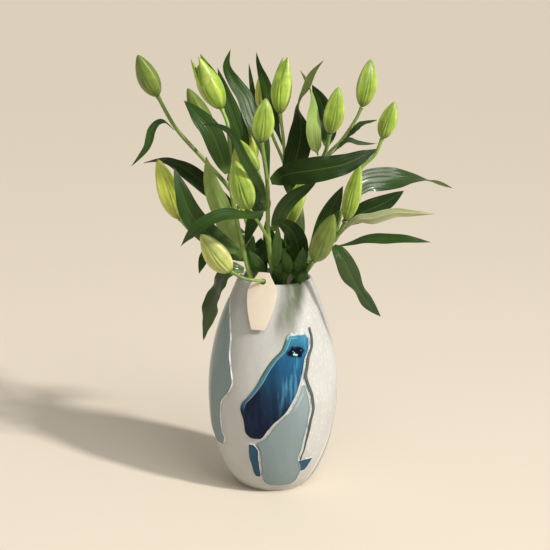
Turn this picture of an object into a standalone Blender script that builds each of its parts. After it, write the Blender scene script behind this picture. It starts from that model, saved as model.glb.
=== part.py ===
"""Lilies in a vase: five cut stems of budded lilies in a tall oval glass vase with a card tag.

The origin is the centre of the vase's foot, on the surface that it stands on, with +Z up and
the vase's blue patch facing -Y. The flowers are laid out in millimetres from the centre of the
mouth, so they rise and fall with the vase.
"""

import math
from collections import namedtuple

import bmesh
import bpy
from mathutils import Matrix, Vector
from mathutils.geometry import interpolate_bezier

# ---------------------------------------------------------------- driving dimensions (metres)
MM = 0.001

VASE_HEIGHT = 0.300
FOOT_RADIUS = 0.043
BELLY_RADIUS = 0.0905
BELLY_HEIGHT = 0.140
MOUTH_RADIUS = 0.0512
WALL = 0.0045
FLOOR = 0.009
TURNED_STEPS = 40

GAP = 0.0003                # kept between two pieces that touch
PATCH_SEAT = 0.0006         # a glass patch stands this far off the faceted vase
PATCH_THICKNESS = 0.0015
PATCH_STEP = 8              # widest facet of a patch, in degrees round the vase
PATCH_RISE = 0.050          # tallest facet of a patch, as a share of the vase's height

TAG_HEIGHT = 0.078
TAG_WIDTH = 0.041
TAG_NECK_WIDTH = 0.0155
TAG_FOOT_WIDTH = 0.019
TAG_THICKNESS = 0.001
TAG_HOLE_RADIUS = 0.0045
TAG_HOLE_DROP = 0.0125      # hole centre below the tag's top edge

STEM_RADIUS = 0.0045
STEM_TIP_RADIUS = 0.0032    # a stem just under its end bud
PEDICEL_RADIUS = 0.0026     # the thin stalk of a side bud
STEM_FOOT_CIRCLE = 0.032    # the cut ends stand on this circle on the vase's floor
STEM_TWIST = 115            # degrees round the vase from where a stem leans to its cut end
LIP_CLEARANCE = 0.0012

LEAF_THICKNESS = 0.0011
LEAF_FOLD = 0.10            # depth of the fold along the midrib, as a share of the width
LEAF_BASE = 0.24            # width where the leaf leaves the stem, as a share of the width
BUD_RIDGE = 0.05            # height of a bud's ribs, as a share of its radius

# ---------------------------------------------------------------- the bunch
# A course is a list of points in millimetres from the centre of the mouth, which a rounded
# curve passes through. A stem's and a side stalk's course ends where the bud is seated.
Stem = namedtuple("Stem", "lean_angle lean course bud tip girth")
Stalk = namedtuple("Stalk", "stem height course tip girth")
# A leaf grows from a stem or stalk at a height; its upper side faces `face` where it starts and
# has turned by `twist` degrees round the leaf at the tip.
Leaf = namedtuple("Leaf", "stem height course width face twist")

STEMS = {
    "stem_left_back": Stem(150, 1.0, [
        (-35, 32, 44), (-46, 42, 82), (-67, 42, 117), (-103, 39, 158), (-140, 36, 200),
        (-164, 30, 244)], "bud_far_left", (-190, 15, 302), 29),
    "stem_left_front": Stem(217, 1.0, [
        (-40, -30, 29), (-47, -38, 60), (-55, -48, 102), (-61, -48, 137), (-63, -42, 188),
        (-66, -33, 216), (-74, -24, 235)], "bud_left_top", (-108, -30, 306), 33),
    "stem_center": Stem(268, 0.7, [
        (-6, -34, 28), (-10, -48, 69), (-11, -60, 113), (-12, -63, 144), (-17, -66, 179),
        (-20, -67, 198)], "bud_center_high", (-15, -75, 257), 30),
    "stem_right_front": Stem(336, 0.95, [
        (51, -23, 26), (66, -33, 46), (82, -45, 66), (94, -56, 92)],
        "bud_right_upright", (110, -66, 170), 24),
    "stem_right_back": Stem(66, 1.0, [
        (18, 42, 20), (19, 52, 44), (22, 63, 74), (33, 55, 110), (52, 36, 144), (66, 15, 171),
        (72, 3, 200)], "bud_right_center", (82, -6, 265), 28),
}

STALKS = {
    "bud_left_shaded": Stalk("stem_left_front", 154, [
        (-74, -9, 180), (-89, 22, 192)], (-124, 39, 255), 28),
    "bud_back_tall": Stalk("stem_right_back", 93, [
        (9, 84, 149), (-7, 91, 185), (-12, 93, 208)], (-25, 96, 268), 25),
    "bud_top": Stalk("stem_right_back", 100, [
        (14, 36, 141), (9, 18, 188), (4, 18, 224)], (11, 22, 302), 28),
    "bud_opening_back": Stalk("stem_center", 115, [
        (-19, -21, 132), (-27, 24, 138), (-31, 36, 153)], (-44, 46, 209), 22),
    "bud_small_center": Stalk("stem_center", 112, [
        (-18, -46, 137), (-25, -33, 152)], (-50, -24, 194), 20),
    "bud_center_front": Stalk("stem_center", 59, [
        (-18, -66, 82), (-29, -81, 102), (-35, -85, 111)], (-54, -96, 178), 32),
    "bud_center_hidden": Stalk("stem_left_front", 98, [
        (-50, -30, 106), (-45, -21, 121)], (-56, -12, 183), 22),
    "bud_left": Stalk("stem_left_back", 51, [
        (-70, 18, 54), (-110, -3, 59), (-132, -12, 82)], (-161, -21, 166), 31),
    "bud_left_low": Stalk("stem_center", 2, [
        (-12, -43, 4), (-17, -56, 7), (-25, -66, 10), (-42, -71, 14), (-59, -71, 23)],
        (-99, -86, 77), 33),
    "bud_right_tall": Stalk("stem_right_back", 153, [
        (73, 36, 169), (91, 42, 187), (109, 46, 214), (117, 48, 231)], (128, 54, 297), 28),
    "bud_far_right": Stalk("stem_right_front", 62, [
        (88, -37, 96), (98, -26, 126), (115, -18, 157), (133, -15, 175), (142, -15, 197)],
        (157, -21, 248), 25),
    "bud_center_low": Stalk("stem_right_back", 22, [
        (14, 27, 41), (14, 13, 65)], (41, 3, 142), 26),
    "bud_right_low": Stalk("stem_right_front", 8, [
        (45, -39, 19), (53, -59, 37)], (76, -99, 109), 31),
}

FRONT = (0, -1, 0.25)
BACK = (0, 1, 0.2)
UP = (0, -0.5, 1)
SIDE_LEFT = (-1, -0.6, 0)

LEAVES = {
    "leaf_01_far_left": Leaf("stem_left_back", 199, [
        (-157, 17, 212), (-169, 9, 204), (-178, 3, 178), (-198, -7, 153)], 15, UP, -50),
    "leaf_02_left_wide": Leaf("stem_left_back", 85, [
        (-91, 57, 109), (-122, 60, 134), (-156, 51, 153), (-186, 39, 150)], 31, FRONT, -30),
    "leaf_03_left_upright": Leaf("stem_left_front", 43, [
        (-91, -50, 70), (-115, -60, 101), (-127, -60, 134), (-137, -54, 161)], 30, FRONT, 20),
    "leaf_04_left_pale": Leaf("stem_left_front", 30, [
        (-61, -15, 58), (-74, -13, 93), (-88, -18, 131), (-95, -27, 172)], 28, BACK, 0),
    "leaf_05_front_low": Leaf("stem_center", 105, [
        (-33, -114, 109), (-65, -132, 113), (-98, -136, 99), (-124, -117, 67)], 22, UP, -30),
    "leaf_06_left_low": Leaf("stem_left_back", 15, [
        (-76, 4, 37), (-96, -11, 30), (-105, -18, 6)], 22, FRONT, 0),
    "leaf_07_over_lip": Leaf("stem_left_front", 15, [
        (-62, -34, 17), (-83, -31, -24), (-91, -30, -54), (-98, -30, -86)],
        18, SIDE_LEFT, 25),
    "leaf_08_top_left": Leaf("stem_center", 136, [
        (-13, -24, 163), (-21, 9, 190), (-35, 22, 218), (-47, 33, 248), (-65, 39, 273),
        (-71, 39, 293), (-65, 36, 310)], 21, FRONT, 90),
    "leaf_09_bract": Leaf("bud_back_tall", 200, [
        (-30, 102, 220), (-37, 102, 255), (-41, 96, 285)], 8, FRONT, 0),
    "leaf_10_top": Leaf("bud_top", 175, [
        (-2, 45, 205), (-12, 57, 239), (-19, 57, 266), (-26, 54, 286), (-30, 48, 305)],
        15, FRONT, 30),
    "leaf_11_behind_left": Leaf("stem_left_back", 120, [
        (-56, 26, 151), (-50, 17, 185), (-60, 18, 221), (-73, 21, 256), (-82, 21, 286)],
        25, FRONT, 0),
    "leaf_12_cupped": Leaf("stem_left_front", 152, [
        (-76, -69, 187), (-87, -75, 214), (-104, -72, 234), (-123, -60, 251)],
        26, FRONT, 0),
    "leaf_13_arching": Leaf("stem_center", 109, [
        (-22, -90, 145), (-34, -108, 169), (-46, -111, 192), (-56, -111, 212), (-73, -108, 225),
        (-100, -99, 224)], 11, FRONT, -40),
    "leaf_14_tall": Leaf("stem_right_back", 100, [
        (21, 33, 132), (28, 18, 169), (34, 18, 202), (29, 21, 235), (40, 21, 260),
        (50, 15, 284), (62, 12, 299)], 30, FRONT, -70),
    "leaf_15_right_pale": Leaf("stem_right_back", 165, [
        (50, -3, 197), (47, -6, 230), (44, -3, 260), (30, 3, 286)], 19, FRONT, 150),
    "leaf_16_behind_right": Leaf("stem_right_back", 177, [
        (70, 42, 203), (61, 48, 235), (47, 45, 262)], 20, FRONT, 0),
    "leaf_17_small_right": Leaf("bud_right_tall", 186, [
        (102, 30, 196), (115, 30, 209), (138, 30, 216)], 12, UP, 0),
    "leaf_18_shiny_right": Leaf("stem_right_back", 160, [
        (82, -27, 185), (97, -36, 198), (111, -39, 194), (134, -39, 194)], 10, UP, 60),
    "leaf_19_front_wide": Leaf("stem_center", 146, [
        (18, -93, 161), (50, -108, 169), (90, -108, 178), (132, -93, 196)], 34, FRONT, -15),
    "leaf_20_right_glossy": Leaf("bud_far_right", 118, [
        (121, -3, 135), (149, 6, 137), (177, 6, 138), (204, 3, 138), (241, -6, 129)],
        31, FRONT, -110),
    "leaf_21_right_under": Leaf("bud_far_right", 84, [
        (117, -36, 99), (148, -33, 113), (173, -30, 129)], 20, FRONT, 0),
    "leaf_22_right_pale": Leaf("stem_right_front", 72, [
        (98, -76, 91), (112, -87, 101), (130, -90, 102), (153, -91, 110), (180, -90, 110),
        (210, -87, 109)], 15, BACK, 0),
    "leaf_23_right_level": Leaf("stem_right_front", 52, [
        (97, -24, 51), (124, -23, 59), (156, -28, 61), (182, -34, 62), (212, -35, 59)],
        15, UP, 20),
    "leaf_24_hanging_right": Leaf("stem_right_front", 58, [
        (88, -58, 46), (102, -57, 18), (114, -58, -1), (126, -60, -20), (145, -60, -40)],
        23, FRONT, 50),
    "leaf_25_right_inner": Leaf("stem_right_front", 17, [
        (62, 5, 46), (74, 7, 86), (92, 7, 128)], 24, FRONT, 0),
    "leaf_26_crossing": Leaf("stem_center", 76, [
        (7, -69, 105), (21, -75, 125), (39, -75, 138), (55, -69, 149)], 20, FRONT, 0),
    "leaf_27_center_dark": Leaf("stem_right_front", 8, [
        (33, -10, 32), (28, -13, 56), (17, -19, 74), (-2, -26, 86)], 27, FRONT, 0),
    "leaf_28_center_lit": Leaf("stem_center", 20, [
        (2, -59, 48), (3, -76, 89)], 14, FRONT, 0),
    "leaf_29_drooping": Leaf("stem_center", 104, [
        (-24, -18, 97), (-34, -6, 71), (-42, -2, 44)], 20, FRONT, 8),
    "leaf_30_center_low": Leaf("stem_left_back", 12, [
        (-16, 6, 32), (-2, 2, 45), (8, -2, 50)], 22, FRONT, 0),
    "leaf_31_back": Leaf("stem_left_back", 58, [
        (-34, 92, 84), (-41, 123, 123), (-53, 138, 161)], 26, FRONT, 0),
}

# ---------------------------------------------------------------- the vase's glass patches
# One row for each height up the vase: (height as a share of the vase's, left edge and right
# edge in degrees round the vase from its front).
PATCHES = {
    "glass_patch_blue": ("deep_blue_glass", [
        (0.300, -21.0, -10.0), (0.324, -25.5, -6.5), (0.383, -26.5, 1.0), (0.440, -30.0, 12.0),
        (0.471, -29.0, 15.5), (0.529, -19.5, 21.5), (0.565, -15.0, 24.3), (0.603, -11.0, 26.0),
        (0.681, -2.0, 30.0), (0.722, 7.0, 35.5), (0.767, 11.0, 38.0), (0.795, 12.5, 37.0)]),
    "glass_patch_grey": ("grey_green_glass", [
        (0.045, -5.0, 26.0), (0.070, -10.5, 31.0), (0.126, -11.5, 32.5), (0.194, -12.3, 26.0),
        (0.241, -12.0, 28.5), (0.284, -16.0, 29.5), (0.300, -8.0, 30.0), (0.324, -4.7, 30.5),
        (0.383, 3.0, 32.0), (0.440, 14.0, 34.0), (0.503, 20.8, 32.5), (0.565, 26.0, 28.0)]),
    "glass_patch_sliver": ("deep_blue_glass", [
        (0.095, -18.5, -13.2), (0.126, -20.5, -13.0), (0.194, -22.0, -13.8),
        (0.241, -22.0, -13.6), (0.275, -21.5, -18.5)]),
    "glass_patch_left": ("pale_blue_glass", [
        (0.225, -66.0, -55.0), (0.273, -80.0, -49.0), (0.300, -84.0, -54.0),
        (0.358, -92.0, -54.0), (0.446, -98.0, -52.0), (0.502, -100.0, -42.0),
        (0.556, -100.0, -38.0), (0.656, -98.0, -44.0), (0.755, -94.0, -48.0),
        (0.830, -90.0, -58.0), (0.906, -84.0, -74.0)]),
}

# Colour, roughness and metallic value of each material.
MATERIALS = {
    "frosted_glass": ((0.72, 0.70, 0.66), 0.45, 0.0),
    "deep_blue_glass": ((0.02, 0.12, 0.30), 0.10, 0.0),
    "grey_green_glass": ((0.33, 0.42, 0.44), 0.12, 0.0),
    "pale_blue_glass": ((0.42, 0.52, 0.58), 0.15, 0.0),
    "tag_card": ((0.80, 0.74, 0.62), 0.80, 0.0),
    "stem_green": ((0.16, 0.30, 0.06), 0.45, 0.0),
    "bud_green": ((0.42, 0.56, 0.10), 0.40, 0.0),
    "leaf_green": ((0.03, 0.11, 0.02), 0.35, 0.0),
}


# ---------------------------------------------------------------- scene helpers
def clear_scene():
    """Remove what a new Blender file holds."""
    for item in list(bpy.data.objects):
        bpy.data.objects.remove(item, do_unlink=True)
    for group in list(bpy.data.collections):
        bpy.data.collections.remove(group)


def make_collection(name):
    group = bpy.data.collections.new(name)
    bpy.context.scene.collection.children.link(group)
    return group


def material(name):
    """The Principled material of that name, made the first time that it is asked for."""
    found = bpy.data.materials.get(name)
    if found:
        return found
    colour, roughness, metallic = MATERIALS[name]
    made = bpy.data.materials.new(name)
    made.use_nodes = True
    surface = made.node_tree.nodes["Principled BSDF"]
    surface.inputs["Base Color"].default_value = (*colour, 1.0)
    surface.inputs["Roughness"].default_value = roughness
    surface.inputs["Metallic"].default_value = metallic
    return made


def add_object(name, data, material_name, group):
    """Link a mesh or curve as a named object with its material, shaded smooth if a mesh."""
    item = bpy.data.objects.new(name, data)
    item.data.materials.append(material(material_name))
    group.objects.link(item)
    if item.type == "MESH":
        item.data.shade_smooth()
    return item


def curve_to_mesh(item, group):
    """Replace a curve object by a mesh object of the same name, its caps welded."""
    bpy.context.view_layer.update()
    evaluated = item.evaluated_get(bpy.context.evaluated_depsgraph_get())
    mesh = bpy.data.meshes.new_from_object(evaluated)
    shape = bmesh.new()
    shape.from_mesh(mesh)
    bmesh.ops.remove_doubles(shape, verts=shape.verts, dist=0.00001)
    shape.to_mesh(mesh)
    shape.free()
    name = item.name
    place = item.matrix_world.copy()
    bpy.data.objects.remove(item, do_unlink=True)
    made = bpy.data.objects.new(name, mesh)
    made.matrix_world = place
    group.objects.link(made)
    return made


# ---------------------------------------------------------------- curves
def from_mouth(point):
    """A place in metres, from millimetres measured from the centre of the mouth."""
    return Vector(point) * MM + Vector((0, 0, VASE_HEIGHT))


def rounded_spans(points):
    """The rounded curve through the points, as one list of close points for each span."""
    spans = []
    last = len(points) - 1
    for index in range(last):
        start, end = points[index], points[index + 1]
        before, after = points[max(index - 1, 0)], points[min(index + 2, last)]
        reach = (end - start).length / 3
        leaving = start + (end - before).normalized() * reach
        arriving = end - (after - start).normalized() * reach
        spans.append(interpolate_bezier(start, leaving, arriving, end, 17))
    return spans


def joined(spans):
    return [point for span in spans for point in span[:-1]] + [spans[-1][-1]]


def lengths_along(line):
    travelled = [0.0]
    for before, point in zip(line, line[1:]):
        travelled.append(travelled[-1] + (point - before).length)
    return travelled


def point_at(line, travelled, distance):
    """The point that lies `distance` along a line of close points."""
    for index in range(1, len(line)):
        if travelled[index] >= distance:
            step = travelled[index] - travelled[index - 1]
            share = (distance - travelled[index - 1]) / step if step else 0.0
            return line[index - 1].lerp(line[index], share)
    return line[-1].copy()


def evenly(line, count):
    """`count` points at equal distances along a line of close points."""
    travelled = lengths_along(line)
    return [point_at(line, travelled, travelled[-1] * n / (count - 1)) for n in range(count)]


def direction(line, index):
    return (line[min(index + 1, len(line) - 1)] - line[max(index - 1, 0)]).normalized()


def nearest_at_height(line, height):
    """Index of the first point of a rising line at or above a height."""
    for index, point in enumerate(line):
        if point.z >= height:
            return index
    return len(line) - 1


# ---------------------------------------------------------------- vase
def vase_radius(height):
    """Outer radius of the vase at a height: two cubic curves that meet at the belly."""
    lower = height < BELLY_HEIGHT
    if lower:
        swell = BELLY_RADIUS - FOOT_RADIUS
        radii = (FOOT_RADIUS, FOOT_RADIUS + 0.46 * swell, BELLY_RADIUS, BELLY_RADIUS)
        heights = (0, 0.03 * BELLY_HEIGHT, 0.45 * BELLY_HEIGHT, BELLY_HEIGHT)
    else:
        rise = VASE_HEIGHT - BELLY_HEIGHT
        narrow = BELLY_RADIUS - MOUTH_RADIUS
        radii = (BELLY_RADIUS, BELLY_RADIUS, MOUTH_RADIUS + 0.42 * narrow, MOUTH_RADIUS)
        heights = (BELLY_HEIGHT, BELLY_HEIGHT + 0.42 * rise, VASE_HEIGHT - 0.26 * rise,
                   VASE_HEIGHT)
    low, high = 0.0, 1.0
    for _ in range(40):
        middle = (low + high) / 2
        if cubic(heights, middle) < height:
            low = middle
        else:
            high = middle
    return cubic(radii, (low + high) / 2)


def cubic(values, t):
    """A cubic Bezier curve's value at t, from its four control values."""
    a, b, c, d = values
    s = 1 - t
    return s ** 3 * a + 3 * s * s * t * b + 3 * s * t * t * c + t ** 3 * d


def vase_heights(bottom, top, count):
    """Heights from top to bottom, closer together near the foot, where the wall turns in."""
    return [bottom + (top - bottom) * (1 - n / (count - 1)) ** 1.35 for n in range(count)]


def make_vase(group):
    """The hollow glass vase: its wall turned round the Z axis, lip and floor included."""
    lip = WALL / 2
    profile = [(0, FLOOR)]
    inner = vase_heights(FLOOR, VASE_HEIGHT - lip, 10)
    profile += [(vase_radius(height) - WALL, height) for height in reversed(inner)]
    for turn in (45, 90, 135):
        angle = math.radians(180 - turn)
        rim_centre = MOUTH_RADIUS - lip
        profile.append((rim_centre + lip * math.cos(angle), VASE_HEIGHT - lip
                        + lip * math.sin(angle)))
    outer = vase_heights(0.0015, VASE_HEIGHT - lip, 13)
    profile += [(vase_radius(height), height) for height in outer]
    profile += [(FOOT_RADIUS, 0), (0, 0)]
    mesh = bpy.data.meshes.new("vase_body")
    edges = [(n, n + 1) for n in range(len(profile) - 1)]
    mesh.from_pydata([(radius, 0, height) for radius, height in profile], edges, [])
    vase = add_object("vase_body", mesh, "frosted_glass", group)
    screw = vase.modifiers.new("turn", "SCREW")
    screw.steps = screw.render_steps = TURNED_STEPS
    screw.use_merge_vertices = True
    screw.merge_threshold = 0.0001
    screw.use_normal_calculate = True
    return vase


def closer_rows(rows):
    """The rows of a patch's outline with more put between those that lie far apart."""
    closer = [rows[0]]
    for before, row in zip(rows, rows[1:]):
        steps = math.ceil((row[0] - before[0]) / PATCH_RISE)
        for n in range(1, steps + 1):
            closer.append(tuple(a + (b - a) * n / steps for a, b in zip(before, row)))
    return closer


def make_patch(name, material_name, rows, group):
    """A sheet of coloured glass lying on the vase between a left and a right edge."""
    rows = closer_rows(rows)
    widest = max(right - left for _, left, right in rows)
    across, up = math.ceil(widest / PATCH_STEP), len(rows) - 1
    shape = bmesh.new()
    bmesh.ops.create_grid(shape, x_segments=across, y_segments=up, size=0.5)
    for vert in shape.verts:
        share = vert.co.x + 0.5
        height, left, right = rows[round((vert.co.y + 0.5) * up)]
        height *= VASE_HEIGHT
        angle = math.radians(-90 + left + (right - left) * share)
        radius = vase_radius(height) + PATCH_SEAT
        vert.co = (radius * math.cos(angle), radius * math.sin(angle), height)
    mesh = bpy.data.meshes.new(name)
    shape.to_mesh(mesh)
    shape.free()
    patch = add_object(name, mesh, material_name, group)
    sheet = patch.modifiers.new("thickness", "SOLIDIFY")
    sheet.thickness = PATCH_THICKNESS
    sheet.offset = 1.0
    return patch


# ---------------------------------------------------------------- stems, stalks and buds
def lean_point(stem):
    """Where a stem's axis passes the lip, leaning on it if its lean is 1."""
    reach = stem.lean * (MOUTH_RADIUS - WALL - STEM_RADIUS - LIP_CLEARANCE)
    angle = math.radians(stem.lean_angle)
    return Vector((reach * math.cos(angle), reach * math.sin(angle), VASE_HEIGHT))


def foot_point(stem):
    """The middle of a stem's cut end, just above the vase's floor."""
    angle = math.radians(stem.lean_angle + STEM_TWIST)
    tilt = math.atan2(STEM_FOOT_CIRCLE + MOUTH_RADIUS, VASE_HEIGHT)
    clear = FLOOR + GAP + STEM_RADIUS * math.sin(tilt)
    return Vector((STEM_FOOT_CIRCLE * math.cos(angle), STEM_FOOT_CIRCLE * math.sin(angle), clear))


def tube(name, line, start_radius, end_radius, group):
    """A tapering round tube along a line of points, as a closed mesh object."""
    data = bpy.data.curves.new(name, "CURVE")
    data.dimensions = "3D"
    data.bevel_depth = start_radius
    data.bevel_resolution = 2
    data.use_fill_caps = True
    spline = data.splines.new("POLY")
    spline.points.add(len(line) - 1)
    for index, (point, place) in enumerate(zip(spline.points, line)):
        share = index / (len(line) - 1)
        point.co = (*place, 1.0)
        point.radius = 1 + (end_radius / start_radius - 1) * share
    item = bpy.data.objects.new(name, data)
    group.objects.link(item)
    return curve_to_mesh(item, group)


def bud_girth(share):
    """A bud's radius along its length, 1 at its widest."""
    return math.sin(math.pi * share ** 0.80) ** 0.68


def make_bud(name, line, girth, group):
    """A closed lily bud: a sphere drawn out along a line, with three ribbed outer tepals."""
    shape = bmesh.new()
    bmesh.ops.create_uvsphere(shape, u_segments=12, v_segments=8, radius=1.0)
    travelled = lengths_along(line)
    side = direction(line, 0).orthogonal().normalized()
    for vert in shape.verts:
        share = min(max((vert.co.z + 1) / 2, 0.0), 1.0)
        spin = math.atan2(vert.co.y, vert.co.x)
        distance = GAP + (travelled[-1] - GAP) * share
        centre = point_at(line, travelled, distance)
        ahead = point_at(line, travelled, min(distance + 0.002, travelled[-1]))
        behind = point_at(line, travelled, max(distance - 0.002, 0.0))
        along = (ahead - behind).normalized()
        across = along.cross(side).normalized()
        level = across.cross(along)
        radius = girth / 2 * bud_girth(share) * (1 + BUD_RIDGE * math.cos(3 * spin))
        vert.co = centre + radius * (math.cos(spin) * level + math.sin(spin) * across)
    mesh = bpy.data.meshes.new(name)
    shape.to_mesh(mesh)
    shape.free()
    return add_object(name, mesh, "bud_green", group)


def stem_line(stem):
    """The rounded course of a stem and of its end bud, as two lines of close points."""
    knots = [foot_point(stem), lean_point(stem)]
    knots += [from_mouth(point) for point in stem.course + [stem.tip]]
    spans = rounded_spans(knots)
    return joined(spans[:-1]), spans[-1]


def stalk_line(stalk, stem_points):
    """The rounded course of a side stalk and of its bud, from the axis of its stem."""
    start = stem_points[nearest_at_height(stem_points, VASE_HEIGHT + stalk.height * MM)]
    knots = [start.copy()] + [from_mouth(point) for point in stalk.course + [stalk.tip]]
    spans = rounded_spans(knots)
    return joined(spans[:-1]), spans[-1]


def tube_points(line, radius):
    """Points for a tube along a line, about six radii apart."""
    count = max(4, round(lengths_along(line)[-1] / (6 * radius)) + 1)
    return evenly(line, count)


def make_stem(name, line, stalks, group, cutters):
    """A stem with its side stalks grown onto it, one solid."""
    body = tube(name, tube_points(line, STEM_RADIUS), STEM_RADIUS, STEM_TIP_RADIUS, group)
    body.data.materials.append(material("stem_green"))
    body.data.shade_smooth()
    for bud_name, stalk in stalks.items():
        branch = tube("stalk_of_" + bud_name, tube_points(stalk, PEDICEL_RADIUS * 1.4),
                      PEDICEL_RADIUS, PEDICEL_RADIUS, cutters)
        branch.hide_render = True
        branch.display_type = "WIRE"
        union = body.modifiers.new("grow " + bud_name, "BOOLEAN")
        union.operation = "UNION"
        union.solver = "EXACT"
        union.object = branch
    return body


# ---------------------------------------------------------------- leaves
def leaf_width(share):
    """A leaf's width along its length as a share of its widest, 0 at the tip."""
    blade = math.sin(math.pi * share ** 0.85) ** 0.85 if share < 1 else 0.0
    return max(blade, 0.0) * (1 - LEAF_BASE * (1 - share)) + LEAF_BASE * (1 - share) ** 3


def leaf_start(leaf, line, radius, toward):
    """Just off a stalk's side at the leaf's height, clear of it for the leaf's whole base."""
    index = nearest_at_height(line, VASE_HEIGHT + leaf.height * MM)
    along = direction(line, index)
    growing = (toward - line[index]).normalized()
    outward = (growing - along * growing.dot(along)).normalized()
    side = growing.cross(Vector(leaf.face)).normalized()
    corner = leaf.width * MM * LEAF_BASE / 2 * abs(side.dot(outward))
    return line[index] + outward * (radius + GAP + LEAF_THICKNESS + corner)


def leaf_sides(first):
    """The triangles between one section and the next, each pair split from the leaf's edge to
    its midrib, so that the upper and lower sides of a twisted blade never cross."""
    faces = []
    for edge, before, after in ((0, 3, 1), (2, 1, 3)):
        edge, before, after = first + edge, first + before, first + after
        faces += [(edge, edge + 4, after + 4), (edge, after + 4, after)]
        faces += [(before, before + 4, edge), (before + 4, edge + 4, edge)]
    return faces


def make_leaf(name, leaf, line, radius, group):
    """A pointed blade folded along its midrib: a loft of thin chevrons, flat at the base."""
    knots = [from_mouth(point) for point in leaf.course]
    knots.insert(0, leaf_start(leaf, line, radius, knots[0]))
    stations = evenly(joined(rounded_spans(knots)), 10)
    rings = []
    for index, centre in enumerate(stations[:-1]):
        share = index / (len(stations) - 1)
        along = direction(stations, index)
        flat = along.cross(Vector(leaf.face)).normalized()
        turn = Matrix.Rotation(math.radians(leaf.twist) * share ** 2, 3, along)
        side = turn @ flat
        top = side.cross(along)
        width = leaf.width * MM * leaf_width(share)
        lift = top * width * LEAF_FOLD * min(1.0, 4 * share)
        half = top * LEAF_THICKNESS / 2
        rings.append([centre - side * width / 2 + lift, centre - half,
                      centre + side * width / 2 + lift, centre + half])
    verts = [corner for ring in rings for corner in ring] + [stations[-1]]
    faces = [(0, 1, 2, 3)]
    for ring in range(len(rings) - 1):
        faces += leaf_sides(4 * ring)
    last = 4 * (len(rings) - 1)
    faces += [(last + corner, len(verts) - 1, last + (corner + 1) % 4) for corner in range(4)]
    mesh = bpy.data.meshes.new(name)
    mesh.from_pydata(verts, [], faces)
    return add_object(name, mesh, "leaf_green", group)


# ---------------------------------------------------------------- tag
def tag_half_width(drop):
    """Half the tag's width at a distance below its top edge: neck, shoulders, then a taper."""
    share = drop / TAG_HEIGHT
    neck, wide, foot = TAG_NECK_WIDTH / 2, TAG_WIDTH / 2, TAG_FOOT_WIDTH / 2
    if share < 0.36:
        return neck + (wide - neck) * math.sin(math.pi / 2 * share / 0.36) ** 1.3
    return wide + (foot - wide) * (1 - math.cos(math.pi / 2 * (share - 0.36) / 0.64))


def make_tag(hole, group):
    """The card tag, hung by its hole and lying down the front of the vase."""
    data = bpy.data.curves.new("gift_tag", "CURVE")
    data.dimensions = "2D"
    data.fill_mode = "BOTH"
    data.extrude = TAG_THICKNESS / 2
    drops = [TAG_HEIGHT * n / 12 for n in range(13)]
    right = [(tag_half_width(drop), TAG_HOLE_DROP - drop) for drop in drops]
    outline = right + [(-x, y) for x, y in reversed(right)]
    ring = [(TAG_HOLE_RADIUS * math.cos(math.tau * n / 16), TAG_HOLE_RADIUS
             * math.sin(math.tau * n / 16)) for n in range(16)]
    for loop in (outline, ring):
        spline = data.splines.new("POLY")
        spline.points.add(len(loop) - 1)
        spline.use_cyclic_u = True
        for point, (x, y) in zip(spline.points, loop):
            point.co = (x, y, 0, 1)
    item = bpy.data.objects.new("gift_tag", data)
    drop = TAG_HEIGHT - TAG_HOLE_DROP
    foot_radius = vase_radius(hole.z - drop) + PATCH_SEAT + PATCH_THICKNESS + TAG_THICKNESS + 0.003
    outward = Vector((hole.x, hole.y, 0))
    lean = math.asin(min((foot_radius - outward.length) / drop, 0.9))
    item.location = hole
    item.rotation_euler = (math.radians(90) - lean, 0, math.atan2(outward.y, outward.x)
                           + math.radians(90))
    group.objects.link(item)
    tag = curve_to_mesh(item, group)
    tag.data.materials.append(material("tag_card"))
    return tag


def tag_hole(line):
    """Centre of the tag's hole: under the low stalk, just outside the lip."""
    for point in line:
        if math.hypot(point.x, point.y) > MOUTH_RADIUS + 0.0055:
            return point - Vector((0, 0, TAG_HOLE_RADIUS - PEDICEL_RADIUS - 2 * GAP))
    return line[-1]


# ---------------------------------------------------------------- the whole object
def main():
    clear_scene()
    group = make_collection("lilies_in_a_vase")
    cutters = make_collection("cutters")
    make_vase(group)
    for name, (glass, rows) in PATCHES.items():
        make_patch(name, glass, rows, group)
    lines, radii = {}, {}
    for name, stem in STEMS.items():
        lines[name], bud_line = stem_line(stem)
        radii[name] = STEM_RADIUS
        make_bud(stem.bud, bud_line, stem.girth * MM, group)
    for name, stalk in STALKS.items():
        lines[name], bud_line = stalk_line(stalk, lines[stalk.stem])
        radii[name] = PEDICEL_RADIUS
        make_bud(name, bud_line, stalk.girth * MM, group)
    for name in STEMS:
        grown = {bud: lines[bud] for bud, stalk in STALKS.items() if stalk.stem == name}
        make_stem(name, lines[name], grown, group, cutters)
    for name, leaf in LEAVES.items():
        make_leaf(name, leaf, lines[leaf.stem], radii[leaf.stem], group)
    make_tag(tag_hole(lines["bud_left_low"]), group)


main()
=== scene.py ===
"""The looks of a bunch of budded lilies in a tall oval satin-glass vase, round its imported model.

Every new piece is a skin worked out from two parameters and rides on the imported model's one
body. The leaves and buds take their place, course and size from the model's own solids.
"""

import math
from collections import namedtuple
from functools import reduce

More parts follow.
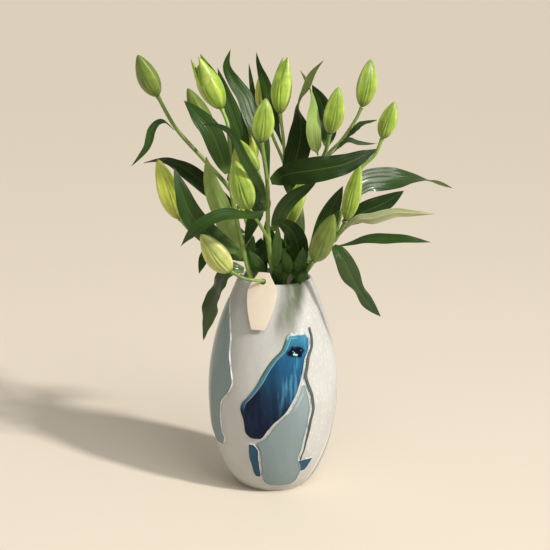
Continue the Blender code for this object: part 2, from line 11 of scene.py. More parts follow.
import bpy
import numpy as np
from mathutils import Matrix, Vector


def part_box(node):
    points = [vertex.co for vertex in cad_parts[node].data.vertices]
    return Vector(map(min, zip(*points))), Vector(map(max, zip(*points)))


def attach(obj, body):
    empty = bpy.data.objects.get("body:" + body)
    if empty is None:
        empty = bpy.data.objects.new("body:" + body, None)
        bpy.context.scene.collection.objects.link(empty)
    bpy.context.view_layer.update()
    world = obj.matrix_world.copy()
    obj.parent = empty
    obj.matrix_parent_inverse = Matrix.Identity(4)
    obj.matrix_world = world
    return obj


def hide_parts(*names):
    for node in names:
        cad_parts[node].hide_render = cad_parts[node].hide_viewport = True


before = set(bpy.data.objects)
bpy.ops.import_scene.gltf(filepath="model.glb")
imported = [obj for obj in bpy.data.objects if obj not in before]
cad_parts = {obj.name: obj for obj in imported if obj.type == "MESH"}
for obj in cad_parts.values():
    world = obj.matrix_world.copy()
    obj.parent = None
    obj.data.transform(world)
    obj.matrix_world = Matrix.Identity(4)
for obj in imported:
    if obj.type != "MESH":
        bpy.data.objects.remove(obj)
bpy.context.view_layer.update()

bl_info = {
    "name": "Lilies in a vase",
    "version": (1, 0, 0),
    "blender": (4, 5, 0),
    "location": "3D View > Sidebar > Lilies",
    "description": "Builds budded lilies in a satin-glass vase round its packed model",
    "category": "Add Mesh",
}

MM = 0.001
VASE_LOW, VASE_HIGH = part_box("vase_body")
MOUTH_HEIGHT = VASE_HIGH.z
FRONT = np.array([0.0, -1.0, 0.0])
SPAN_STEPS = 16
SHEET_SUNK = 0.0006
BLUE_SEED, GREY_SEED, SLIVER_SEED, PALE_SEED = 0.3, 1.9, 4.1, 2.6
FLOOR_REACH = 20
CAMERA_PLACE, CAMERA_DOWN, CAMERA_ROLL = (0.0, -2.026, 0.803), 13.9, 0.8


# ---------------------------------------------------------------- settings
def length(name, description, default):
    return bpy.props.FloatProperty(name=name, description=description, default=default,
                                   min=0.0, unit="LENGTH", precision=4)


def share(name, description, default):
    return bpy.props.FloatProperty(name=name, description=description, default=default,
                                   min=0.0, max=1.0, subtype="FACTOR")


def colour(name, description, default):
    return bpy.props.FloatVectorProperty(name=name, description=description, size=3,
                                         default=default, min=0.0, max=1.0, subtype="COLOR")


class VaseSettings(bpy.types.PropertyGroup):
    """Sizes and colours of the vase, its coloured glass and its tag."""
    belly_radius: length("Belly radius", "Widest outer radius of the vase", VASE_HIGH.x)
    belly_height: length("Belly height", "Height of the widest place", 0.140)
    foot_radius: length("Foot radius", "Outer radius at the foot", 0.043)
    mouth_radius: length("Mouth radius", "Outer radius at the lip", 0.0512)
    wall: length("Wall", "Thickness of the glass wall", 0.0045)
    floor: length("Floor", "Thickness of the vase's floor", 0.009)
    frost: colour("Frosted glass", "Satin body of the vase", (0.70, 0.70, 0.68))
    blue: colour("Blue glass", "Bright part of the blue window", (0.017, 0.100, 0.215))
    navy: colour("Navy glass", "Deep part of the blue window", (0.0008, 0.006, 0.026))
    grey: colour("Grey glass", "Grey-green window", (0.27, 0.345, 0.365))
    pale: colour("Pale glass", "Pale window on the left", (0.26, 0.35, 0.36))
    card: colour("Tag card", "Cream card of the tag", (0.70, 0.615, 0.50))


class PlantSettings(bpy.types.PropertyGroup):
    """Colours of the leaves, buds and stems and how strongly they are shaped."""
    leaf: colour("Leaf", "Upper side of a leaf", (0.022, 0.055, 0.007))
    leaf_under: colour("Leaf underside", "Underside of a leaf", (0.135, 0.185, 0.052))
    leaf_vein: colour("Leaf vein", "Midrib and veins", (0.13, 0.24, 0.05))
    bud: colour("Bud", "Body of a bud", (0.20, 0.325, 0.025))
    bud_light: colour("Bud ridges", "Ridges and pale side of a bud", (0.48, 0.58, 0.12))
    bud_dark: colour("Bud seams", "Seams between a bud's tepals", (0.07, 0.13, 0.012))
    stem: colour("Stem", "Stems and stalks", (0.14, 0.215, 0.04))
    wave: share("Leaf wave", "Height of a leaf's wavy edge, as a share of its width", 0.09)
    rib: share("Bud ribs", "Height of a bud's ribs, as a share of its radius", 0.10)


class StageSettings(bpy.types.PropertyGroup):
    """Floor, light and camera."""
    floor: colour("Floor", "Plain pale floor", (0.75, 0.675, 0.565))
    key: bpy.props.FloatProperty(name="Key light", default=3.0, min=0.0,
                                 description="Watts a square metre from the main light")
    fill: share("Fill light", "Strength of the light from all round", 0.42)
    lens: bpy.props.FloatProperty(name="Lens", description="Focal length of the camera",
                                  default=98.18, min=1.0, unit="CAMERA")


# ---------------------------------------------------------------- lines
def unit(rows):
    """Each row divided by its length."""
    return rows / np.maximum(np.linalg.norm(rows, axis=-1, keepdims=True), 1e-12)


def heading(line):
    """The direction of a line at each of its points."""
    return unit(np.gradient(line, axis=0))


def square_to(along, rows):
    """Each row's direction with the part that lies along another direction taken away."""
    return unit(rows - along * (rows * along).sum(-1, keepdims=True))


def travelled(line):
    """The distance travelled along a line at each of its points."""
    steps = np.linalg.norm(np.diff(line, axis=0), axis=1)
    return np.concatenate([[0.0], np.cumsum(steps)])


def shares_along(line):
    """The distance travelled along a line at each of its points, as a share of the whole."""
    way = travelled(line)
    return way / way[-1]


def at_shares(line, shares, values=None):
    """The line's points, or values held at them, at shares of its whole length."""
    way = travelled(line)
    values = line if values is None else np.asarray(values, float)
    columns = values.reshape(len(line), -1).T
    found = [np.interp(np.asarray(shares) * way[-1], way, column) for column in columns]
    return np.stack(found, -1).reshape((len(shares),) + values.shape[1:])


def bezier(values, t):
    """The cubic curve of four values: each weighed by its term of (1 - t + t)^3."""
    a, b, c, d = values
    s = 1 - t
    return s ** 3 * a + 3 * s * s * t * b + 3 * s * t * t * c + t ** 3 * d


def rounded_line(knots):
    """Cubic curves through the knots as one line of close points: a knot's handles run as its
    neighbours lie from each other and are a third of their span long."""
    knots = np.asarray(knots, float)
    start, end = knots[:-1], knots[1:]
    before = np.vstack([knots[:1], knots[:-2]])
    after = np.vstack([knots[2:], knots[-1:]])
    reach = np.linalg.norm(end - start, axis=1, keepdims=True) / 3
    held = (start, start + unit(end - before) * reach, end - unit(after - start) * reach, end)
    t = np.linspace(0, 1, SPAN_STEPS + 1)[None, :, None]
    spans = bezier([points[:, None] for points in held], t)
    return np.vstack([spans[:, :-1].reshape(-1, 3), spans[-1:, -1]])


def from_mouth(points):
    """Places in metres, from millimetres measured from the centre of the mouth."""
    return np.asarray(points, float) * MM + np.array([0.0, 0.0, MOUTH_HEIGHT])


def smooth_step(low, high, value):
    """0 below low, 1 above high and 3x^2 - 2x^3 of the way between."""
    x = np.clip((value - low) / (high - low), 0.0, 1.0)
    return x * x * (3 - 2 * x)


def full_turn(steps):
    """The angles of equal steps once round."""
    return np.linspace(0, math.tau, steps, endpoint=False)


def circles(turn, first, second):
    """Round each point of a line, a unit circle's points at these turns from a first direction
    toward a second."""
    return (np.cos(turn)[None, :, None] * first[:, None]
            + np.sin(turn)[None, :, None] * second[:, None])


def over(shape, *parts):
    """Parts that may be alike along or across a grid, spread over all of it and stacked."""
    return np.stack([np.broadcast_to(part, shape) for part in parts], -1)


# ---------------------------------------------------------------- skins
def closed_faces(rows, around):
    """Faces of a skin of rings: four-sided between the rings, and a fan to a pole, the last two
    points, at each end."""
    ring = np.arange(rows - 1)[:, None] * around
    here = np.arange(around)[None, :]
    there = (here + 1) % around
    quads = np.stack([ring + here, ring + there, ring + around + there,
                      ring + around + here], -1).reshape(-1, 4)
    here, there = here[0], there[0]
    low, high = np.full(around, rows * around), np.full(around, rows * around + 1)
    last = (rows - 1) * around
    fans = np.vstack([np.stack([there, here, low], -1),
                      np.stack([last + here, last + there, high], -1)])
    return quads, fans


def ring_faces(rows, around):
    """Four-sided faces of a skin that closes on itself both ways."""
    row, here = np.arange(rows)[:, None], np.arange(around)[None, :]
    below, there = (row + 1) % rows, (here + 1) % around
    return np.stack([row * around + here, row * around + there, below * around + there,
                     below * around + here], -1).reshape(-1, 4)


def volume_of(points, quads, fans):
    """Six times the volume inside a skin, negative if its faces look inwards."""
    thirds = np.vstack([fans, quads[:, :3], quads[:, [0, 2, 3]]])
    a, b, c = (points[thirds[:, n]] for n in range(3))
    return float((np.cross(a, b) * c).sum())


def skin(grid, marks=None, ring=False):
    """A closed skin over a grid of points: (points, quads, fans, marks), faces outwards."""
    rows, around = grid.shape[:2]
    points = grid.reshape(-1, 3)
    kept = {name: rows_of.reshape(-1, 3) for name, rows_of in (marks or {}).items()}
    if ring:
        quads, fans = ring_faces(rows, around), np.zeros((0, 3), int)
    else:
        quads, fans = closed_faces(rows, around)
        points = np.vstack([points, grid[0].mean(0), grid[-1].mean(0)])
        for name, rows_of in (marks or {}).items():
            kept[name] = np.vstack([kept[name], rows_of[0].mean(0), rows_of[-1].mean(0)])
    if volume_of(points - points.mean(0), quads, fans) < 0:
        quads, fans = quads[:, ::-1], fans[:, ::-1]
    return points, quads, fans, kept


def add_piece(name, skins, material, slot_name, *nodes):
    """One smooth mesh object made of skins, riding on the model in place of the nodes."""
    first = np.cumsum([0] + [len(points) for points, _, _, _ in skins])
    points = np.vstack([points for points, _, _, _ in skins])
    quads = np.vstack([quads + n for (_, quads, _, _), n in zip(skins, first)])
    fans = np.vstack([fans + n for (_, _, fans, _), n in zip(skins, first)])
    corners = np.concatenate([quads.ravel(), fans.ravel()]).astype(np.int32)
    starts = np.concatenate([np.arange(len(quads)) * 4, len(quads) * 4 + np.arange(len(fans)) * 3])
    mesh = bpy.data.meshes.new(name)
    mesh.vertices.add(len(points))
    mesh.vertices.foreach_set("co", points.astype(np.float32).ravel())
    mesh.loops.add(len(corners))
    mesh.loops.foreach_set("vertex_index", corners)
    mesh.polygons.add(len(starts))
    mesh.polygons.foreach_set("loop_start", starts.astype(np.int32))
    mesh.update(calc_edges=True)
    mesh.shade_smooth()
    for mark in skins[0][3]:
        values = np.vstack([kept[mark] for _, _, _, kept in skins])
        layer = mesh.attributes.new(mark, "FLOAT_VECTOR", "POINT")
        layer.data.foreach_set("vector", values.astype(np.float32).ravel())
    mesh.materials.append(material)
    piece = bpy.data.objects.new(name, mesh)
    bpy.context.scene.collection.objects.link(piece)
    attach(piece, "root")
    if nodes:
        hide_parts(*nodes)
    return piece


def tube(line, radii, around):
    """A skin round a line: at each point a circle of its radius, square to the line."""
    along = heading(line)
    least = np.eye(3)[np.abs(line[-1] - line[0]).argmin()]
    side = unit(np.cross(along, least))
    return skin(line[:, None] + circles(full_turn(around), side, np.cross(along, side))
                * radii[:, None, None])


# ---------------------------------------------------------------- reading the model
def node_points(node):
    """The corner points of a node's mesh."""
    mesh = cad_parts[node].data
    places = np.empty(len(mesh.vertices) * 3, np.float32)
    mesh.vertices.foreach_get("co", places)
    return places.reshape(-1, 3)


def layers_of(node, sizes):
    """The node's corner points in layers, each one edge further from a first point, for the
    first point that gives layers of these sizes."""
    mesh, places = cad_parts[node].data, node_points(node)
    corners = np.empty(len(mesh.loops), np.int32)
    mesh.loops.foreach_get("vertex_index", corners)
    _, first, index = np.unique(np.round(places * 1e7).astype(np.int64), axis=0,
                                return_index=True, return_inverse=True)
    faces = index.reshape(-1)[corners].reshape(-1, 3)
    near = np.zeros((len(first), len(first)), bool)
    near[faces, np.roll(faces, 1, axis=1)] = True
    near |= near.T
    for start in range(len(first)):
        edge = seen = np.arange(len(first)) == start
        layers = [[start]]
        while len(layers[-1]):
            edge = near[edge].any(0) & ~seen
            seen = seen | edge
            layers.append(np.flatnonzero(edge))
        if [len(layer) for layer in layers[:-1]] == sizes:
            return [places[first[layer]].astype(float) for layer in layers[:-1]]
    raise RuntimeError(f"{node} has no layers of {sizes} points")


def read_blade(node):
    """A leaf's course in the model: centres from base to tip, half widths, and the directions of
    its side and of its upper face, from sections of two edge points and two midrib points."""
    layers = layers_of(node, [1] + [4] * 9)[::-1]
    centres, halves, lifts = [], [], []
    for ring in layers[:-1]:
        apart = np.linalg.norm(ring[:, None] - ring[None], axis=-1)
        one, other = np.unravel_index(apart.argmax(), apart.shape)
        inner = [n for n in range(4) if n not in (one, other)]
        centres.append(ring[inner].mean(0))
        halves.append(apart.max() / 2)
        lifts.append(ring[[one, other]].mean(0) - centres[-1])
    lifts[0] = lifts[1]
    centres, lifts = np.array(centres + [layers[-1][0]]), np.array(lifts + [lifts[-1]])
    along = heading(centres)
    top = square_to(along, lifts)
    return centres, np.array(halves + [0.0]), np.cross(along, top), top


def read_bud(node):
    """A bud's course in the model: centres from base to tip, and its greatest radius."""
    layers = layers_of(node, [1] + [12] * 7 + [1])
    radii = [np.linalg.norm(ring - ring.mean(0), axis=1).mean() for ring in layers]
    if radii[1] < radii[-2]:
        layers = layers[::-1]
    return np.array([ring.mean(0) for ring in layers]), max(radii)


# ---------------------------------------------------------------- node trees
class Graph:
    """Short ways to add nodes to a tree and wire them."""

    def __init__(self, tree):
        self.tree = tree

    def put(self, socket, value):
        if isinstance(value, bpy.types.NodeSocket):
            self.tree.links.new(value, socket)
            return
        plain = isinstance(value, (int, float, str, bool))
        if socket.type == "RGBA" and not plain and len(value) == 3:
            value = (*value, 1.0)
        socket.default_value = value

    def add(self, kind, *values, **settings):
        """A node with its settings made, then its first inputs given these values."""
        made = self.tree.nodes.new("ShaderNode" + kind)
        for name, value in settings.items():
            setattr(made, name, value)
        for socket, value in zip(made.inputs, values):
            self.put(socket, value)
        return made

    def named(self, kind, **values):
        """A node with the inputs of these names given values."""
        made = self.add(kind)
        for name, value in values.items():
            self.put(made.inputs[name], value)
        return made.outputs[0]

    def maths(self, operation, *values):
        return self.add("Math", *values, operation=operation).outputs[0]

    def times(self, *values):
        return reduce(lambda a, b: self.maths("MULTIPLY", a, b), values)

    def plus(self, *values):
        return reduce(lambda a, b: self.maths("ADD", a, b), values)

    def minus(self, value, less):
        return self.maths("SUBTRACT", value, less)

    def size(self, value):
        return self.maths("ABSOLUTE", value)

    def mix(self, factor, first, second):
        made = self.add("Mix", data_type="RGBA")
        for n, value in ((0, factor), (6, first), (7, second)):
            self.put(made.inputs[n], value)
        return made.outputs[2]

    def between(self, value, low, high, to_low=0.0, to_high=1.0):
        return self.add("MapRange", value, low, high, to_low, to_high,
                        interpolation_type="SMOOTHSTEP").outputs[0]

    def noise(self, place, scale, detail=3.0, rough=0.5):
        return self.named("TexNoise", Vector=place, Scale=scale, Detail=detail, Roughness=rough)

    def stretched(self, place, x, y, z):
        return self.add("VectorMath", place, (x, y, z), operation="MULTIPLY").outputs[0]

    def parts(self, vector):
        return self.add("SeparateXYZ", vector).outputs

    def object_place(self):
        return self.add("TexCoord").outputs["Object"]

    def mark(self, name):
        return self.add("Attribute", attribute_name=name).outputs["Vector"]

    def brighter(self, tint, amount):
        return self.add("HueSaturation", 0.5, 1.0, amount, 1.0, tint).outputs[0]

    def bump(self, height, strength, distance):
        return self.named("Bump", Height=height, Strength=strength, Distance=distance)


def pattern_group(name, colours, numbers, wire):
    """The shader node group of this name, made on its first use: it takes colours and numbers,
    and `wire` makes the colour, roughness and height that it gives."""
    tree = bpy.data.node_groups.get(name)
    if tree:
        return tree
    tree = bpy.data.node_groups.new(name, "ShaderNodeTree")
    takes = [(label, "Color") for label in colours] + [(label, "Float") for label in numbers]
    gives = [("Colour", "Color"), ("Roughness", "Float"), ("Height", "Float")]
    for way, sockets in (("INPUT", takes), ("OUTPUT", gives)):
        for label, kind in sockets:
            tree.interface.new_socket(label, in_out=way, socket_type="NodeSocket" + kind)
    given = tree.nodes.new("NodeGroupInput").outputs[:len(takes)]
    g = Graph(tree)
    results = wire(g, *given)
    for socket, value in zip(tree.nodes.new("NodeGroupOutput").inputs, results):
        g.put(socket, value)
    return tree


def blade_pattern():
    return pattern_group("leaf blade", ("Upper", "Underside", "Vein", "Tip"),
                         ("Veins a side", "Seed"), wire_blade)


def wire_blade(g, upper_side, underside, vein_tint, tip, veins, seed):
    """The colours of a leaf: parallel veins, a midrib, long streaks, blotches, a brown tip and a
    paler underside. Its mark holds the place across, along, and 1 on the upper side."""
    across, along, upper = g.parts(g.mark("blade"))
    off = g.size(across)
    vein = g.maths("POWER", g.size(g.maths("SINE", g.times(off, veins, math.pi))), 0.35)
    vein = g.minus(1.0, vein)
    long_way = g.add("CombineXYZ", g.times(across, 7.0), g.times(along, 1.1), seed).outputs[0]
    streak = g.noise(long_way, 2.4, 4.0, 0.6)
    blotch = g.noise(g.object_place(), 24.0)
    body = g.brighter(g.mix(upper, underside, upper_side),
                      g.plus(g.times(streak, 0.9), g.times(blotch, 1.1)))
    lines = g.plus(g.times(vein, 0.07), g.times(g.between(off, 0.07, 0.0), 0.28))
    young = g.times(g.between(along, 0.16, 0.0), 0.7)
    body = g.mix(g.maths("MAXIMUM", lines, young), body, vein_tint)
    body = g.mix(g.times(g.between(along, 0.955, 1.0), 0.8), body, tip)
    rough = g.plus(g.times(streak, 0.25), g.between(upper, 0.0, 1.0, 0.38, 0.24))
    return body, rough, g.minus(g.times(streak, 0.55), g.times(vein, 0.5))


def bud_pattern():
    return pattern_group("lily bud", ("Body", "Ridge", "Seam", "Tip"), ("Seed",), wire_bud)


def wire_bud(g, body, ridge_tint, seam_tint, tip, seed):
    """The colours of a bud: pale ridges, which also carry painted highlight on the tepals' bulges
    and painted shade in the valleys beside them, seams of a darker green deepened as painted
    shade, long fine streaks, a green base and a tip of its own colour. Marks hold the turn's
    cosine and sine and the place along, and how far a place is ridge (with its painted light),
    seam and inner tepal."""
    cosine, sine, along = g.parts(g.mark("turn"))
    ridge, seam, inner = g.parts(g.mark("rib"))
    round_way = g.add("CombineXYZ", g.times(cosine, 5.0), g.times(sine, 5.0),
                      g.plus(g.times(along, 1.6), seed)).outputs[0]
    streak = g.noise(round_way, 2.6, 4.0, 0.62)
    blotch = g.noise(g.object_place(), 60.0)
    # Pale keel colour with painted highlight on the bulges and painted shade in the valleys, then
    # the inner tepal, then seams darkened as painted shade.
    body = g.mix(g.times(ridge, g.between(streak, 0.30, 0.70, 0.45, 1.0)), body, ridge_tint)
    body = g.mix(g.times(inner, 0.55), body, ridge_tint)
    body = g.mix(g.times(seam, 0.42), body, seam_tint)
    body = g.brighter(body, g.plus(g.times(streak, 0.9), g.times(blotch, 1.1)))
    body = g.mix(g.times(g.between(along, 0.16, 0.0), 0.65), body, seam_tint)
    body = g.mix(g.between(along, 0.95, 0.995), body, tip)
    return body, g.plus(g.times(streak, 0.25), 0.26), g.plus(streak, g.times(blotch, 0.25))


def glass_pattern():
    return pattern_group("blown glass", ("Base", "Shade"), ("Painted sparkle",), wire_glass)


def wire_glass(g, base, shade, painted_sparkle_and_bump):
    """Blown glass close up: broad cloudiness, faint upright drawing lines and a fine sparkle of
    painted highlights.
    """
    place = g.object_place()
    cloud = g.noise(place, 9.0)
    lines = g.noise(g.stretched(place, 60.0, 60.0, 9.0), 1.6, 4.0, 0.6)
    spark = g.noise(g.stretched(place, 1.0, 1.0, 0.45), 420.0, 3.0, 0.6)
    body = g.mix(g.between(cloud, 0.35, 0.70), base, shade)
    body = g.brighter(body, g.plus(0.90, g.times(lines, 0.20)))
    body = g.mix(g.times(g.between(spark, 0.54, 0.68), painted_sparkle_and_bump), body, (0.95, 0.95, 0.93))
    rough = g.plus(g.times(cloud, 0.12), g.times(lines, 0.12))
    return body, rough, g.plus(lines, g.times(spark, painted_sparkle_and_bump))


def new_material(name, **plain):
    """A material with a Principled surface, its plain values set on its own sockets."""
    made = bpy.data.materials.new(name)
    made.use_nodes = True
    surface = made.node_tree.nodes["Principled BSDF"]
    for socket, value in plain.items():
        surface.inputs[socket.replace("_", " ")].default_value = value
    return made, Graph(made.node_tree), surface


def finish_surface(g, surface, body, rough, height, strength, distance):
    g.put(surface.inputs["Base Color"], body)
    g.put(surface.inputs["Roughness"], rough)
    g.put(surface.inputs["Normal"], g.bump(height, strength, distance))


def patterned(name, pattern, values, strength, distance, **plain):
    """A material whose colour, roughness and relief come from a pattern given these values."""
    made, g, surface = new_material(name, **plain)
    finish_surface(g, surface, *g.add("Group", *values, node_tree=pattern).outputs, strength,
                   distance)
    return made


def scaled(tint, by, toward=(1.0, 1.0, 1.0), by_share=0.0):
    """A colour made lighter or darker, and drawn part of the way toward another."""
    return [min(1.0, t * by * (1 - by_share) + w * by_share) for t, w in zip(tint, toward)]


# ---------------------------------------------------------------- the vase
def outer_radius(vase, heights):
    """The vase's outer radius at heights: one cubic curve from foot to belly, one to the lip."""
    t = np.linspace(0, 1, 200)
    swell, rise = vase.belly_radius - vase.foot_radius, MOUTH_HEIGHT - vase.belly_height
    narrow = vase.belly_radius - vase.mouth_radius
    low = (bezier((0, 0.03 * vase.belly_height, 0.45 * vase.belly_height, vase.belly_height), t),
           bezier((vase.foot_radius, vase.foot_radius + 0.46 * swell, vase.belly_radius,
                   vase.belly_radius), t))
    high = (bezier((vase.belly_height, vase.belly_height + 0.42 * rise,
                    MOUTH_HEIGHT - 0.26 * rise, MOUTH_HEIGHT), t),
            bezier((vase.belly_radius, vase.belly_radius, vase.mouth_radius + 0.42 * narrow,
                    vase.mouth_radius), t))
    at, radii = np.concatenate([low[0], high[0][1:]]), np.concatenate([low[1], high[1][1:]])
    return np.interp(heights, at, radii)


def vase_profile(vase):
    """Radius and height round the vase's wall: under the foot, up the outside, over the rounded
    lip, down the inside and across the floor."""
    lip, heel = vase.wall / 2, 0.0025
    turn = np.linspace(0, math.pi / 2, 7)
    foot = [(0.004, 0.0016), (vase.foot_radius - 0.010, 0.0016), (vase.foot_radius - 0.007, 0.0)]
    heel_radius = outer_radius(vase, heel)
    round_heel = np.stack([heel_radius - heel + heel * np.sin(turn),
                           heel - heel * np.cos(turn)], -1)
    heights = heel + (MOUTH_HEIGHT - lip - heel) * np.linspace(0, 1, 90)[1:]
    outside = np.stack([outer_radius(vase, heights), heights], -1)
    over = np.linspace(0, math.pi, 14)[1:-1]
    rim = np.stack([vase.mouth_radius - lip + lip * np.cos(over),
                    MOUTH_HEIGHT - lip + lip * np.sin(over)], -1)
    heights = np.linspace(MOUTH_HEIGHT - lip, vase.floor + 0.012, 60)
    inside = np.stack([outer_radius(vase, heights) - vase.wall, heights], -1)
    bowl = np.linspace(0, math.pi / 2, 9)[1:]
    base = inside[-1, 0]
    floor = np.stack([base - 0.012 + 0.012 * np.cos(bowl),
                      vase.floor + 0.012 - 0.012 * np.sin(bowl)], -1)
    centre = [(base * 0.5, vase.floor), (0.004, vase.floor)]
    return np.vstack([foot, round_heel, outside, rim, inside, floor, centre])


def turned(profile, around):
    """A profile of radii and heights carried round the Z axis."""
    turn = np.linspace(0, math.tau, around, endpoint=False)
    spoke = np.stack([np.cos(turn), np.sin(turn)], -1)[None] * profile[:, None, :1]
    return np.concatenate([spoke, np.broadcast_to(profile[:, None, 1:], spoke.shape[:2] + (1,))], -1)


def painted_foot_refraction_lines(g, x, y, z):
    """Masks of a dark line of painted shade and a bright line of painted highlight beside it, low on
    the right of the vase, standing in for light bent through the thick clear glass of the foot."""
    course = g.between(z, 0.0, 0.090, math.radians(56.0), math.radians(73.0))
    aside = g.minus(g.maths("ARCTAN2", x, g.times(y, -1.0)), course)
    fade = g.between(z, 0.105, 0.060)
    dark = g.between(g.size(aside), 0.045, 0.022)
    bright = g.between(g.size(g.plus(aside, 0.085)), 0.045, 0.020)
    return g.times(dark, fade), g.times(bright, fade)


def frosted_material(vase):
    """Satin glass: cloudy and warm, with a painted green shadow of the stems below the lip, a
    painted sparkle of highlights and painted refraction lines low on the right.
    """
    made, g, surface = new_material("frosted_glass", Transmission_Weight=0.30, IOR=1.45,
                                    Specular_IOR_Level=0.35)
    place = g.object_place()
    x, y, z = g.parts(place)
    # Its fine sparkle is painted highlight, stronger toward the right of the vase.
    body, rough, relief = g.add("Group", vase.frost, scaled(vase.frost, 0.88),
                                g.between(x, 0.010, 0.045, 0.15, 0.65),
                                node_tree=glass_pattern()).outputs
    # Painted shadow of the stems seen through the glass: a green-grey streaked band below the lip on
    # the front, slanting to the right as it rises.
    slope = g.between(z, 0.20, 0.30, 0.009, 0.025)
    upright = g.noise(g.stretched(place, 1.0, 1.0, 0.12), 70.0, 2.0)
    stems = g.times(g.between(g.size(g.minus(x, slope)), 0.024, 0.008),
                    g.between(z, 0.195, 0.285), g.between(y, 0.0, -0.03),
                    g.between(upright, 0.25, 0.6, 0.55, 1.0))
    body = g.mix(stems, body, (0.075, 0.10, 0.040))
    # Painted shade line and painted highlight line low on the right, for light bent through the
    # thick foot.
    dark, bright = painted_foot_refraction_lines(g, x, y, z)
    body = g.mix(g.times(dark, 0.7), body, (0.16, 0.18, 0.18))
    body = g.mix(bright, body, (0.90, 0.90, 0.88))
    finish_surface(g, surface, body, g.plus(rough, 0.38), relief, 0.12, 0.0004)
    return made


class LILY_OT_vase(bpy.types.Operator):
    """Build the hollow satin-glass vase"""
    bl_idname = "lily.vase"
    bl_label = "Vase"

    def execute(self, context):
        vase = context.scene.lily_vase
        grid = turned(vase_profile(vase), 160)
        add_piece("frosted_vase", [skin(grid)], frosted_material(vase), "frosted_glass",
                  "vase_body")
        return {"FINISHED"}


# ---------------------------------------------------------------- coloured glass
def patch_rows(node, vase):
    """A patch's outline in the model: heights, and the angles of its left and right edges round
    the vase from its front, from the points of its inner face."""
    places = node_points(node).astype(float)
    radii = np.hypot(places[:, 0], places[:, 1])
    inner = places[radii < outer_radius(vase, places[:, 2]) + 0.0009]
    turns = np.arctan2(inner[:, 0], -inner[:, 1])
    heights = np.unique(np.round(inner[:, 2], 4))
    rows = [turns[np.abs(inner[:, 2] - height) < 0.0001] for height in heights]
    return heights, np.array([r.min() for r in rows]), np.array([r.max() for r in rows])


def softened(heights, edge, at, seed, wobble):
    """An edge's angle at closer heights, its corners rounded off and a slow wobble added."""
    found = np.interp(at, heights, edge)
    weight = np.exp(-3 * np.linspace(-1, 1, 9) ** 2)
    found = np.convolve(np.pad(found, 4, "edge"), weight / weight.sum(), "valid")
    way = at / 0.011 + seed
    return found + wobble * (np.sin(way) + 0.6 * np.sin(2.3 * way + 1.7))


def glass_sheet(vase, heights, left, right, thick, lip):
    """A sheet fused on the vase between two edges: its section runs round an arch that is thick
    a few millimetres in from its rim and stands up in a rounded lip there. The mark holds the
    place across, the height and the distance to the rim in metres."""
    turn = full_turn(96)
    across, up = np.cos(turn), heights[:, None]
    middle, half = (left + right)[:, None] / 2, (right - left)[:, None] / 2
    base = outer_radius(vase, heights)[:, None]
    from_end = np.minimum(up - heights[0], heights[-1] - up)
    rim = np.minimum(half * base * (1 - np.abs(across)), from_end)
    swell = np.sqrt(np.clip(1 - (1 - np.clip(rim / 0.0032, 0, 1)) ** 2, 0, 1))
    outer = (thick + lip * np.exp(-((rim - 0.0016) / 0.0011) ** 2)) * swell
    radius = base + np.where(np.sin(turn) >= 0, outer, -SHEET_SUNK)
    angle = middle + half * across
    return skin(over(rim.shape, radius * np.sin(angle), -radius * np.cos(angle), up),
                {"sheet": over(rim.shape, across, up, rim)})


def read_sheet(node, vase, seed, spread):
    """A window's sheet over its patch in the model, rounded at its two ends and spread a little
    at its sides."""
    heights, left, right = patch_rows(node, vase)
    at = np.linspace(heights[0], heights[-1], 120)
    left = softened(heights, left, at, seed, 0.006) - spread
    right = softened(heights, right, at, seed + 2.0, 0.006) + spread
    from_end = np.clip(np.minimum(at - at[0], at[-1] - at) / 0.006, 0, 1)
    rounding = 0.55 + 0.45 * np.sqrt(1 - (1 - from_end) ** 2)
    middle, half = (left + right) / 2, (right - left) / 2 * rounding
    return glass_sheet(vase, at, middle - half, middle + half, 0.0016, 0.0006)


def window_material(name, dark, bright, light_rim, lip_side=2.0):
    """A polished window of coloured glass: from dark to bright up its height, with long drawn
    streaks, a light band inside its left edge, a band of painted shadow just inside its rim and a
    painted white highlight on its lip as far right as lip_side, both broken up by noise."""
    made, g, surface = new_material(name, Coat_Weight=0.15, Coat_Roughness=0.05, IOR=1.45,
                                    Roughness=0.16, Specular_IOR_Level=0.12)
    across, height, rim = g.parts(g.mark("sheet"))
    place = g.object_place()
    slanted = g.plus(height, g.times(g.parts(place)[0], 0.9))
    streak = g.noise(g.stretched(place, 60.0, 60.0, 14.0), 1.2, 4.0, 0.55)
    rise = g.plus(g.between(slanted, 0.105, 0.250), g.times(g.minus(streak, 0.5), 0.9))
    body = g.mix(rise, dark, bright)
    band = g.times(g.between(rim, 0.0075, 0.0058), g.between(across, 0.1, -0.3),
                   g.between(height, 0.125, 0.155))
    body = g.mix(g.times(band, 0.85), body, light_rim)
    line = g.times(g.between(g.size(g.minus(rim, 0.0072)), 0.0009, 0.0003),
                   g.between(band, 0.0, 0.2))
    body = g.mix(g.times(line, 0.8), body, (0.55, 0.62, 0.60))
    painted_light_breakup = g.between(g.noise(place, 110.0, 2.0), 0.30, 0.62, 0.25, 0.95)
    # Painted shadow just inside the rim, then a painted white highlight on the lip, both broken up
    # by noise.
    body = g.mix(g.times(g.between(rim, 0.0040, 0.0022), painted_light_breakup, 0.55), body, scaled(dark, 0.35))
    lip = g.times(g.between(rim, 0.0016, 0.0008), painted_light_breakup, g.between(across, lip_side,
                                                                  lip_side - 0.2))
    g.put(surface.inputs["Base Color"], g.mix(lip, body, (0.70, 0.71, 0.69)))
    g.put(surface.inputs["Normal"], g.bump(streak, 0.15, 0.0006))
    return made


